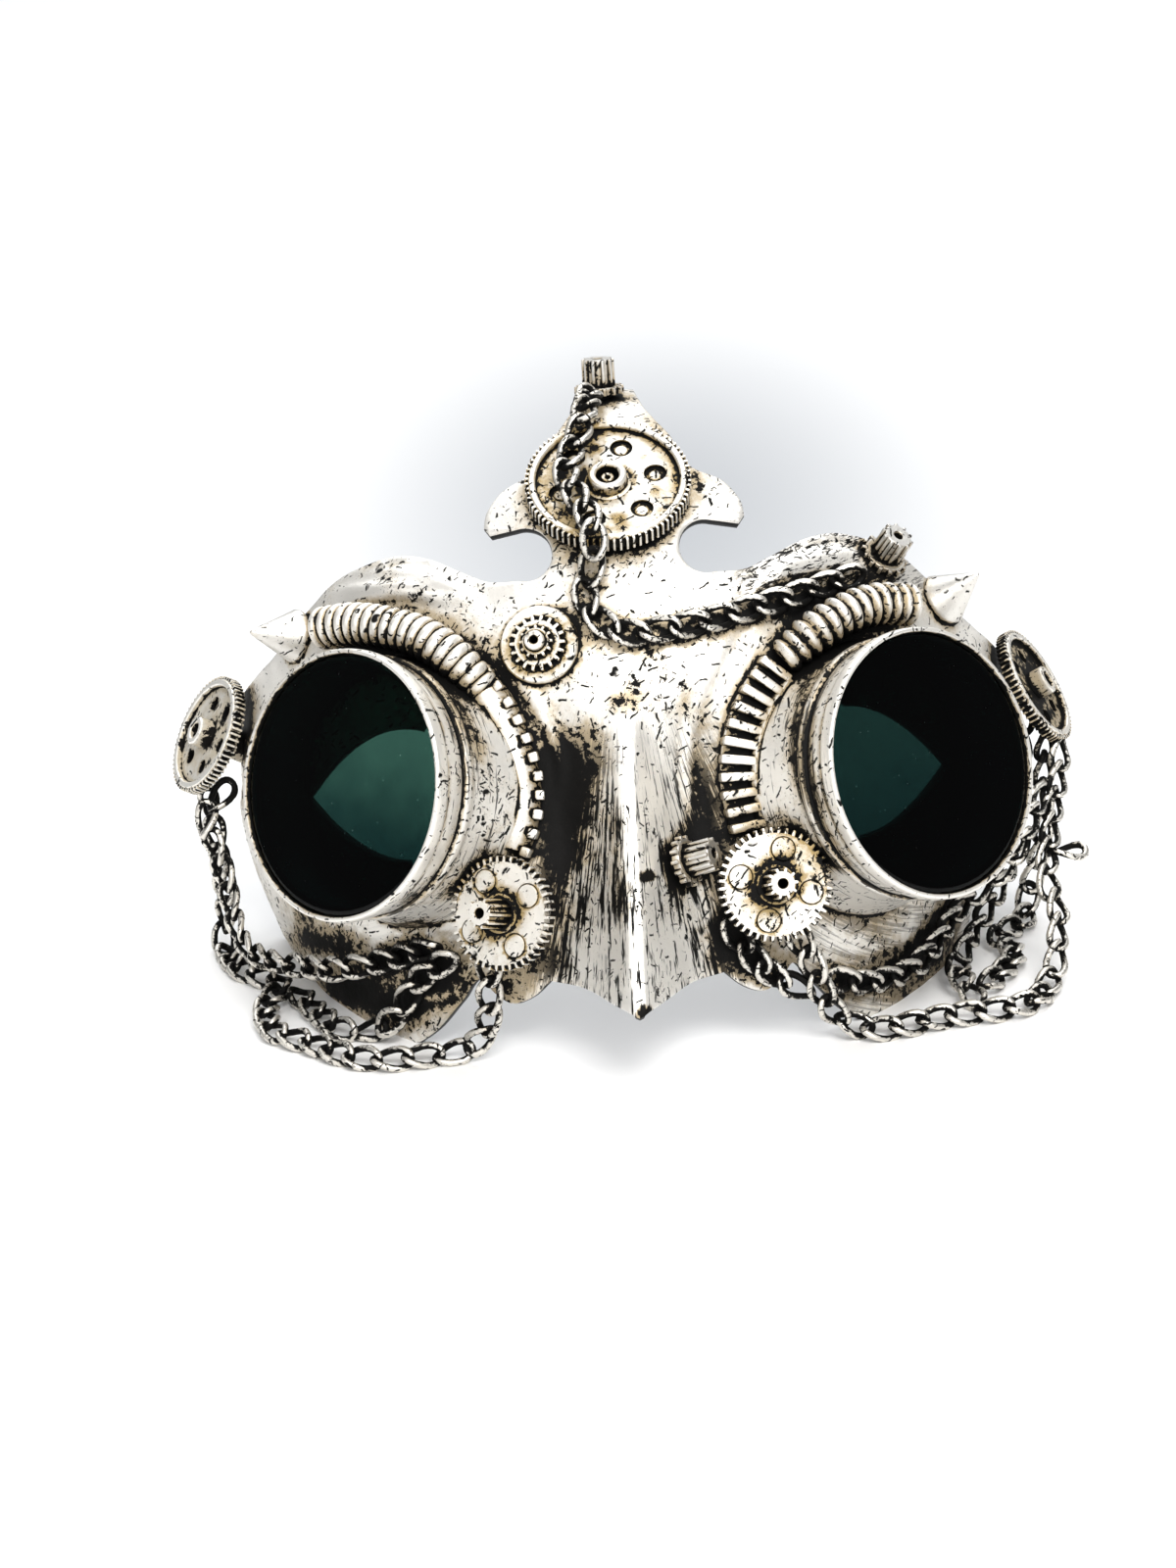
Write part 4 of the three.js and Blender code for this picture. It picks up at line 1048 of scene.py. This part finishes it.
# A turned cone spike is glued to the face before the outer end of each hose, and points out of it.
# It is the smoothest of the castings, so the brush covered it best.
SPIKE = [
    (0, 0), (4.9, 0), (5.2, 0.5), (5.4, 1.0), (5.4, 1.35), (5.15, 1.8), (3.9, 4.2), (2.45, 7.0), (1.05, 9.7),
    (0.45, 10.75), (0.2, 11.05), (0, 11.1),
]
SPIKE_SINK = 0.7
SPIKES = {
    "left": {"at": (-64.4, 31), "yaw": -58, "pitch": 6},
    "right": {"at": (64.6, 31.2), "yaw": 50, "pitch": 27},
}
spike_finish = silver_over_black(
    "spike_silver", (0.7, 0.68, 0.64), STAIN, marks=0.4, cover=0.3, stained=0.7, shine=0.95)
for side, spot in SPIKES.items():
    x, up = spot["at"]
    turn = turn_at(x, up)
    foot = face(turn, up) - face_normal(turn, up) * SPIKE_SINK
    points, faces = capped_lathe(SPIKE, 56)
    in_place = set_out(points, {"place": foot, **spot})
    put_piece(f"{side}_cone", in_place, faces, spike_finish, f"{side}_spike")


# The gears are plastic clock wheels, glued on by short stems: a dished one on the crest and at each temple.
# Their teeth are fine, their webs have round holes, and brown stain lies round the raised hubs.
def turned_ring(profile, sides):
    """A turned ring from a closed profile of radii and heights, which runs anticlockwise."""
    profile = dense([*profile, profile[0]])[:-1]
    rings = [round_points(r, h, sides) for r, h in profile]
    return np.vstack(rings), ring_faces(len(rings), sides, True)


def round_block(inner, outer, low, high, ease=0.2):
    """The profile of a ring with eased edges."""
    return [
        (inner, low), (outer - ease, low), (outer, low + ease), (outer, high - ease), (outer - ease, high),
        (inner + ease, high), (inner, high - ease),
    ]


def ring_of(shape, count, radius, height, finish, phase=0.0):
    """Copies of a shape round an axis: its x runs along the ring, and its y points to the middle."""
    angles = np.linspace(0, 2 * math.pi, max(count * 4, 48), endpoint=False) + math.radians(phase)
    path = np.column_stack([radius * np.cos(angles), radius * np.sin(angles), np.full(len(angles), height)])
    sizes = {"Shape": shape, "Count": count, "Twist": 0.0, "Sway": 0.0, "Seed": 1, "Finish": finish}
    return parts_of(grown(row_tree, path, np.tile((0, 0, 1), (len(path), 1)), sizes, closed=True))


TOOTH_TIP, TOOTH_FOOT, TOOTH_SINK = 0.62, 1.15, 0.5


def toothed(count, root, tip, low, high, finish, share=0.56, ease=0.08, phase=0.0):
    """A ring of teeth that narrow to their tips."""
    pitch = 2 * math.pi * root / count
    corners, sides = block(pitch * share, tip - root + TOOTH_SINK, low, high)
    narrow = [(x * (TOOTH_TIP if y < 0 else TOOTH_FOOT), y, z) for x, y, z in corners]
    shape = pattern_piece("wheel_tooth", narrow, sides, bevel=min(ease, pitch * 0.1))
    made = ring_of(shape, count, (root + tip) / 2 - TOOTH_SINK / 2, 0, finish, phase)
    bpy.data.objects.remove(shape)
    return made


STEM_EDGE, STEM_SINK = 3.01, 0.8
STEM_DEPTHS = np.arange(3, -16, -0.05)


def ended_in_face(points, spot):
    """A wheel's points, with its stem cut short inside the wall of the face."""
    on_stem = (np.hypot(points[:, 0], points[:, 1]) < STEM_EDGE) & (points[:, 2] < 0)
    ends = reach_to_face(spot, points[on_stem, :2], STEM_DEPTHS) - STEM_SINK
    points = points.copy()
    points[on_stem, 2] = np.maximum(points[on_stem, 2], ends)
    return points


def stem(radius, low, high):
    return capped_lathe([(0, low), (radius, low), (radius, high - 0.2), (radius - 0.2, high), (0, high)], 24)


def spots_round(radius, count, phase):
    """Places spaced evenly round an axis, the first at the phase in degrees."""
    at = math.radians(phase) + 2 * math.pi * np.arange(count) / count
    return np.column_stack([radius * np.cos(at), radius * np.sin(at), np.zeros(count)])


def set_round(profile, sides, radius, count, phase):
    """Copies of a turned solid, spaced evenly round an axis."""
    points, faces = capped_lathe(profile, sides)
    return [(points + spot, faces) for spot in spots_round(radius, count, phase)]


def holed_web(radius, low, high, ring, hole, count, phase):
    """A flat web with a ring of round holes through it."""
    loops = [round_points(radius, 0, 96)[:, :2]]
    loops += [(round_points(hole, 0, 22) + spot)[:, :2] for spot in spots_round(ring, count, phase)]
    rows = np.arange(-radius, radius, 0.7)
    grid = clear_of(np.array([(x, y) for x in rows for y in rows]), np.vstack(loops), 0.4)
    plane, triangles = cut_sheet(loops, grid[np.hypot(*grid.T) < radius])
    n = len(plane)
    points = np.vstack([np.column_stack([plane, np.full(n, level)]) for level in (high, low)])
    faces = triangles.tolist() + (triangles[:, ::-1] + n).tolist()
    return points, faces + [(b, a, a + n, b + n) for a, b in open_edges(triangles)]


def put_wheel(name, points, faces, spot, finish, stain_and_shade=None):
    """A wheel at its place on the face, turned on its axis by its phase."""
    turn = math.radians(spot.get("phase", 0))
    spin = np.array([[math.cos(turn), math.sin(turn), 0], [-math.sin(turn), math.cos(turn), 0], [0, 0, 1]])
    points = ended_in_face(points @ spin, spot)
    put_piece(f"{name}_wheel", set_out(points, spot), faces, finish, name, stain_and_shade=stain_and_shade)


gear_finish = silver_over_black(
    "gear_silver", (0.79, 0.76, 0.70), (0.36, 0.265, 0.125), marks=0.6, cover=0.22, stained=1.0)
temple_finish = silver_over_black(
    "temple_silver", (0.78, 0.75, 0.69), (0.34, 0.255, 0.13), marks=0.4, cover=0.24, stained=0.8)
white_finish = silver_over_black(
    "temple_white", (0.8, 0.78, 0.73), (0.42, 0.33, 0.18), marks=0.35, cover=0.42, stained=0.6)
CUP_RING, CUP_PHASE, KNOB_PHASE = 9.5, 12, 42
LUMP = [(0, -2.3), (1.5, -2.3), (1.4, -2.05), (1.0, -1.9), (0.4, -2.0), (0, -2.05)]
KNOB = [(0, -2.0), (1.5, -2.0), (1.45, -1.5), (1.2, -1.4), (0, -1.4)]
CREST = [
    turned_ring(round_block(14.1, 15.45, -3.2, 0, 0.3), 120),
    toothed(78, 15.3, 16.2, -3.1, -0.25, gear_finish),
    holed_web(14.3, -2.2, -1.3, CUP_RING, 2.25, 6, CUP_PHASE),
    turned_ring(round_block(0.2, 14.2, -2.5, -2.15, 0.05), 60),
    turned_ring(round_block(2.3, 3.7, -2.6, 1.5, 0.35), 48),
    turned_ring(round_block(0.5, 1.3, -2.6, 0.4, 0.2), 24),
    turned_ring([(3.6, -1.62), (4.7, -1.62), (4.5, -1.2), (3.6, -0.9)], 48),
    stem(3, -9, -2.8),
    *set_round(LUMP, 20, CUP_RING, 6, CUP_PHASE),
    *set_round(KNOB, 20, CUP_RING, 6, KNOB_PHASE),
]
TEMPLE = [
    turned_ring(round_block(10.5, 11.9, -2.6, 0, 0.25), 100),
    toothed(66, 11.75, 12.6, -2.5, -0.2, temple_finish),
    holed_web(11, -2.2, -1.2, 7, 1.55, 6, 20),
    # A thin plate behind the web's holes, closed in and so darkened as painted shade behind the holes
    turned_ring(round_block(0.2, 10.6, -2.6, -2.35, 0.05), 48),
    turned_ring(round_block(1.6, 3.0, -2.2, 2.2, 0.3), 40),
    stem(3, -14, -2.2),
]
# Rings of stain on their webs: how much, radius and spread. The temple gears have wider rings.
WEB_RINGS = [(0.14, 12.3, 1.5), (0.16, 5.2, 1.4)]
WEB_TOP = -0.6
DISHED = {
    "crest_gear": {
        "place": (-0.8, 57.5, 0), "yaw": 0, "pitch": 38, "phase": 0,
        "parts": CREST, "finish": gear_finish, "stain": -0.08, "wider": 1,
    },
    "left_temple_gear": {
        "place": (-86.6, 13, -42), "yaw": -57, "pitch": 21, "phase": 20,
        "parts": TEMPLE, "finish": white_finish, "stain": 0.02, "wider": 9 / 7,
    },
    "right_temple_gear": {
        "place": (85.6, 14.2, -42), "yaw": 64, "pitch": 24, "phase": 60,
        "parts": TEMPLE, "finish": temple_finish, "stain": 0.2, "wider": 9 / 7,
    },
}
for name, spot in DISHED.items():
    points, faces = joined(*spot["parts"])
    reach = np.hypot(points[:, 0], points[:, 1]) / spot["wider"]
    stain = sum(much * hill(reach - ring, wide) for much, ring, wide in WEB_RINGS) + spot["stain"]
    if name == "crest_gear":
        knobs = np.cos(6 * (np.arctan2(points[:, 1], points[:, 0]) - math.radians(KNOB_PHASE)))
        stain += 0.3 * hill(reach - CUP_RING, 1.7) * knobs.clip(0, 1)
    put_wheel(name, points, faces, spot, spot["finish"], stain * (points[:, 2] < WEB_TOP))

# A flat clock gear is glued on beside each nostril, with a long toothed hub and four round pads on it.
# The hub's bore comes out black, as a closed-in hollow: black that the brush left, and painted shade.
FLAT = {
    "left_cheek_gear": {"place": (-25.4, -25, 18.5), "yaw": -29, "pitch": 4, "phase": 27},
    "right_cheek_gear": {"place": (27, -22.3, 18), "yaw": 8, "pitch": 3, "phase": 75},
}


def small_pinion(count, root, tip, low, high, bore, finish):
    """A toothed hub with a bore."""
    body = turned_ring(round_block(bore, root + 0.1, low, high, 0.12), 36)
    return joined(body, toothed(count, root, tip, low, high - 0.05, finish, share=0.5))


PAD = [(0, -2.1), (2.25, -2.1), (2.25, -0.05), (2.1, 0.12), (0, 0.12)]
CHEEK_GEAR = [
    holed_web(9.8, -2.2, 0, 6.9, 2.45, 4, 0),
    toothed(44, 9.75, 10.9, -2.15, -0.05, gear_finish, share=0.52),
    small_pinion(10, 2.2, 2.95, -1, 7.5, 1.0, gear_finish),
    turned_ring([(2.9, -0.02), (3.9, -0.02), (3.75, 0.22), (2.9, 0.35)], 40),
    stem(3, -14, -2.05),
    *set_round(PAD, 28, 6.9, 4, 0),
]
for name, spot in FLAT.items():
    points, faces = joined(*CHEEK_GEAR)
    stain = 0.2 * hill(np.hypot(points[:, 0], points[:, 1]) - 4.2, 1.3)
    put_wheel(name, points, faces, spot, gear_finish, stain)

# A small double gear sits on a round plate at the left brow, and short pinions on toothed flanges elsewhere.
# They are spare clock wheels too, glued on by their stems.
SMALL = {
    "brow_gear": {"place": (-15.6, 25.7, 10.6), "yaw": -11, "pitch": 10},
    "crest_pinion": {"place": (-1.6, 77, -27.4), "yaw": 0, "pitch": 74},
    "brow_pinion": {"place": (52.4, 39.8, -11.2), "yaw": 33, "pitch": 36},
    "nose_pinion": {"place": (9.8, -17.3, 13), "yaw": 60, "pitch": 12},
}
BROW_GEAR = [
    capped_lathe([(0, -1.4), (7.6, -1.4), (7.6, -0.35), (7.3, 0), (0, 0)], 72),
    stem(3, -6, -1.2),
    turned_ring(round_block(0.8, 4.45, -0.4, 1.5, 0.15), 60),
    toothed(18, 4.4, 5.4, -0.3, 1.45, gear_finish, share=0.5),
    small_pinion(12, 2.5, 3.2, 1.2, 2.9, 0.8, gear_finish),
    turned_ring(round_block(0.8, 1.9, 2.4, 4.4, 0.2), 32),
]
PINION = [
    turned_ring(round_block(0.9, 4.3, 0, 1.5, 0.15), 48),
    toothed(14, 4.2, 5.0, 0.05, 1.45, gear_finish, share=0.5),
    small_pinion(10, 2.6, 3.3, 1.2, 7, 1.0, gear_finish),
    stem(2.4, -6, 0.6),
]
for name, spot in SMALL.items():
    points, faces = joined(*(BROW_GEAR if name == "brow_gear" else PINION))
    finish = gear_finish if name == "brow_gear" else spike_finish
    put_wheel(name, points, faces, spot, finish)

# Small steel chains are looped from wheel to wheel and hang down the cheeks to the table.
# Their oval links are bent from wire, blackened, and rubbed with silver on the outside.
LINK = {
    "long": 8.9, "wide": 5.6, "wire": 0.72, "square": 0.85, "bend": 24, "cut": 8,
    "pitch": 6.0, "twist": 48,
}
CHAIN_REST = 2.15
LOOSE_LINK = (88.2, -20.3, -31.5)
CHAINS = {
    "brow_chain": [
        (-3.5, 76, -18.4), (-4.8, 71, -6.6), (-6.1, 66.6, -3.8), (-8.6, 60, 1.5), (-8.4, 56.8, 4.1),
        (-6.3, 53, 7.1), (-4.6, 49.3, 10.1), (-4, 45.4, 12.6), (-4.5, 41.4, 10.4), (-5.1, 37.8, 10),
        (-6.1, 33.7, 10.9), (-3.7, 29.7, 12.1), (1.4, 27, 12.8), (8.9, 27.4, 12.3), (16.5, 28.5, 10.9),
        (24.1, 30.3, 8.8), (31.9, 32.1, 5.8), (39.8, 34.4, 1.8), (45, 35.8, -1.4),
    ],
    "left_cheek_chain": [
        (-83.5, -0.1, -42), (-86.8, -5.1, -40), (-84.9, -11.2, -40), (-83.4, -17.9, -42),
        (-82, -25.2, -40), (-78.6, -31.6, -34.5), (-72.4, -34, -26.5), (-66, -34.9, -20),
        (-59.6, -35.4, -13), (-51.1, -34.3, -7.9), (-41, -31.8, 1.2),
    ],
    "left_swag_chain": [
        (-37.6, -34.5, 3.4), (-41.9, -37.2, -0.7), (-45.5, -41.9, -4.5), (-48.4, -45.4, -6), (-52.5, -47.5),
        (-58.1, -47.4), (-63.2, -44.7), (-67.8, -41.3),
    ],
    "left_outer_chain": [
        (-86.9, -2, -50), (-85.9, -10.2, -51), (-85.1, -22.6, -55), (-86.3, -30.1), (-81.4, -35.7),
        (-72.7, -38.9), (-74.6, -42.7), (-72.2, -46.8), (-64.9, -49), (-55.7, -51.8), (-49.1, -52.5),
        (-42.5, -52.3), (-35.4, -51.9), (-31, -49.5, 3.5), (-28.9, -44.6, 8), (-28.4, -38.3, 12),
        (-28.2, -35.2, 12.6),
    ],
    "right_outer_chain": [
        (31.2, -33.1, 11), (33, -36.8, 10), (34.2, -40.9, 8), (35.8, -45.3, 5), (38.5, -49, 3), (43, -51.2),
        (47.6, -51.8), (53.7, -51), (60, -50.2), (66.2, -49.9), (72.2, -49.4), (77.1, -48.5), (81.1, -45.8),
        (83.3, -41.4, -18), (84, -36.7, -20), (84.8, -32, -23), (83.8, -27.7, -26), (83.1, -23.3, -28),
        (84.8, -18.3, -30), (85.4, -13.4, -33), (87.2, -7.8, -36), (88.8, -0.4, -39.6),
    ],
    "right_cheek_chain": [
        (83, -9.4, -32.2), (79.4, -16, -27), (77.1, -20.5, -28.5), (72.2, -25.1, -29.5),
        (66.7, -29.4, -27.5), (62.1, -33.6, -21.5), (58.3, -38.2, -16.9), (53.6, -41.2, -12),
        (48.2, -42.6, -6.6), (43.2, -42.8, -1.9), (39.6, -42, 1),
    ],
    "right_swag_chain": [
        (82.2, 7.8, -43.6), (81, -2, -44), (80, -10, -43.6), (79, -17, -42.4), (76.3, -24.7, -39.4),
        (72.9, -29.5, -36.6), (69.8, -34, -32.6), (66.4, -38.2, -27.4), (64.1, -41.8, -22),
        (64.6, -44.7, -14.2), (65.8, -47.1),
    ],
    "right_back_chain": [
        (86.05, 1.9, -41.8), (85.4, -8, -45.4), (85.2, -16.2, -47), (84, -22.7, -50), (82.4, -28.5, -53),
        (80.7, -33.9), (74.3, -37.2), (76.5, -40.1), (73.1, -43.1), (70.3, -44.7),
    ],
    "right_gear_chain": [(19.3, -31.9, 11.6), (22.1, -36, 10.4), (25.5, -39.5, 8.8), (30.2, -42.5, 6.5)],
}


def bent_link():
    """An oval of round wire, twisted a little along its length."""
    turn = np.linspace(0, 2 * math.pi, LINK["bend"], endpoint=False)
    oval = np.column_stack([np.cos(turn), np.sin(turn)])
    oval = np.sign(oval) * np.abs(oval) ** LINK["square"]
    loop = oval * (LINK["long"] / 2 - LINK["wire"], LINK["wide"] / 2 - LINK["wire"])
    ahead = np.roll(loop, -1, axis=0) - np.roll(loop, 1, axis=0)
    normal = np.column_stack([ahead[:, 1], -ahead[:, 0]]) / np.linalg.norm(ahead, axis=1, keepdims=True)
    cut = np.linspace(0, 2 * math.pi, LINK["cut"], endpoint=False)
    wire = loop[:, None] + LINK["wire"] * np.cos(cut)[:, None] * normal[:, None]
    x, y = wire.reshape(-1, 2).T
    z = np.tile(LINK["wire"] * np.sin(cut), len(loop))
    turn = math.radians(LINK["twist"]) * x / (LINK["long"] / 2)
    points = np.column_stack([x, y * np.cos(turn) - z * np.sin(turn), y * np.sin(turn) + z * np.cos(turn)])
    faces = [f[::-1] for f in ring_faces(len(loop), LINK["cut"], True)]
    return points * 0.001, faces


def out_on_table(up):
    """How far out of the face a chain lies on the table, at that height up the face."""
    return (CHAIN_REST - BETWEEN_EYES[2] * 1000 - up * math.cos(LEAN)) / math.sin(LEAN)


chain_finish = silver_over_black(
    "chain_silver", (0.74, 0.71, 0.65), (0.2, 0.155, 0.09), marks=0.8, cover=-0.05, stained=0.8, shine=0.95)
link = pattern_piece("chain_link", *bent_link())
# The links lie flat to the head behind the mask, or to the table below a low height, and turn to the front
HEAD = np.array([BETWEEN_EYES[0], BETWEEN_EYES[1] + 0.05, 0.06])
LOW = 0.004
FACE_AWAY, FACE_FRONT = 0.6, 0.8
for number, (name, route) in enumerate(CHAINS.items()):
    path = in_room(strand([p if len(p) == 3 else (*p, out_on_table(p[1])) for p in route], 12))
    length = np.linalg.norm(np.diff(path, axis=0), axis=1).sum() * 1000
    away = path - HEAD
    away /= np.linalg.norm(away, axis=1, keepdims=True)
    away[path[:, 2] < LOW] = (0, 0, 1)
    away = away * FACE_AWAY + out_face * FACE_FRONT
    sizes = {
        "Shape": link, "Count": round(length / LINK["pitch"]) + 1, "Twist": 0.0, "Sway": 0.22,
        "Seed": number + 1, "Finish": chain_finish,
    }
    points, faces = parts_of(grown(row_tree, path, away, sizes))
    if name == "right_outer_chain":
        points, faces = joined((points, faces), (in_room(LOOSE_LINK) + bent_link()[0], bent_link()[1]))
    points[:, 2] = np.maximum(points[:, 2], 0)
    put_piece(f"{name}_links", points, faces, chain_finish, name, 60)
for pattern in (bar, tooth, link):
    bpy.data.objects.remove(pattern)

# The brush leaves black where it can't reach, and closed-in places are also darkened as painted shade.
# How closed in each point is, and how far it stands out as an edge, is worked out over the whole mask and
# kept on its pieces for their finishes.
RAYS = 22
FAR, NEAR = 0.010, 0.0026
OFF_SURFACE = 0.00015
EDGE_GAIN = 2.5
rng = np.random.default_rng(7)
ring = rng.uniform(0, 2 * math.pi, RAYS)
lift = np.sqrt((np.arange(RAYS) + 0.5) / RAYS)
flat_part = np.sqrt(1 - lift ** 2)
spread = np.column_stack([flat_part * np.cos(ring), flat_part * np.sin(ring), lift])
brushed = [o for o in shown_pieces() if o.type == "MESH"]
all_points, all_faces = [], []
for piece in brushed:
    piece.data.calc_loop_triangles()
    corners = values_of(piece.data.loop_triangles, "vertices", 3, int)
    all_faces += (corners + sum(len(p) for p in all_points)).tolist()
    all_points.append(values_of(piece.data.vertices, "co", 3))
walls = BVHTree.FromPolygons(np.vstack(all_points).tolist(), all_faces)
for piece, places in zip(brushed, all_points):
    mesh = piece.data
    normals = values_of(mesh.vertex_normals, "vector", 3)
    a, b = values_of(mesh.edges, "vertices", 2, int).T
    run = places[b] - places[a]
    run /= np.maximum(np.linalg.norm(run, axis=1, keepdims=True), 1e-12)
    bend = np.bincount(a, -(run * normals[a]).sum(1), len(places))
    bend += np.bincount(b, (run * normals[b]).sum(1), len(places))
    bend /= np.maximum(np.bincount(a, minlength=len(places)) + np.bincount(b, minlength=len(places)), 1)
    hollow, crack = np.zeros(len(places)), np.zeros(len(places))
    if mesh.materials[0] is not lens_finish:
        reached = np.unique([v for p in mesh.polygons if not p.material_index for v in p.vertices])
        n = normals[reached]
        side = np.cross(n, np.where(np.abs(n[:, :1]) < 0.8, [[1.0, 0, 0]], [[0, 1.0, 0]]))
        side /= np.maximum(np.linalg.norm(side, axis=1, keepdims=True), 1e-12)
        third = np.cross(n, side)
        starts = (places[reached] + n * OFF_SURFACE).tolist()
        for sx, sy, sz in spread:
            ways = (side * sx + third * sy + n * sz).tolist()
            hits = [walls.ray_cast(start, way, FAR)[3] for start, way in zip(starts, ways)]
            gap = np.array([FAR if hit is None else hit for hit in hits])
            hollow[reached] += (1 - gap / FAR) / RAYS
            crack[reached] += np.clip(1 - gap / NEAR, 0, 1) / RAYS
    # The painted spots of stain and shade add to how closed in each point is
    if "stain_and_shade" in mesh.attributes:
        hollow += values_of(mesh.attributes["stain_and_shade"].data, "value", 1)[:, 0]
    for label, values in (("hollow", hollow), ("crack", crack), ("edge", np.clip(bend * EDGE_GAIN, -1, 1))):
        keep_on(mesh, label, values)

sizes = {"cad": [list(v) for v in solid_box], "visual": [list(v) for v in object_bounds()]}
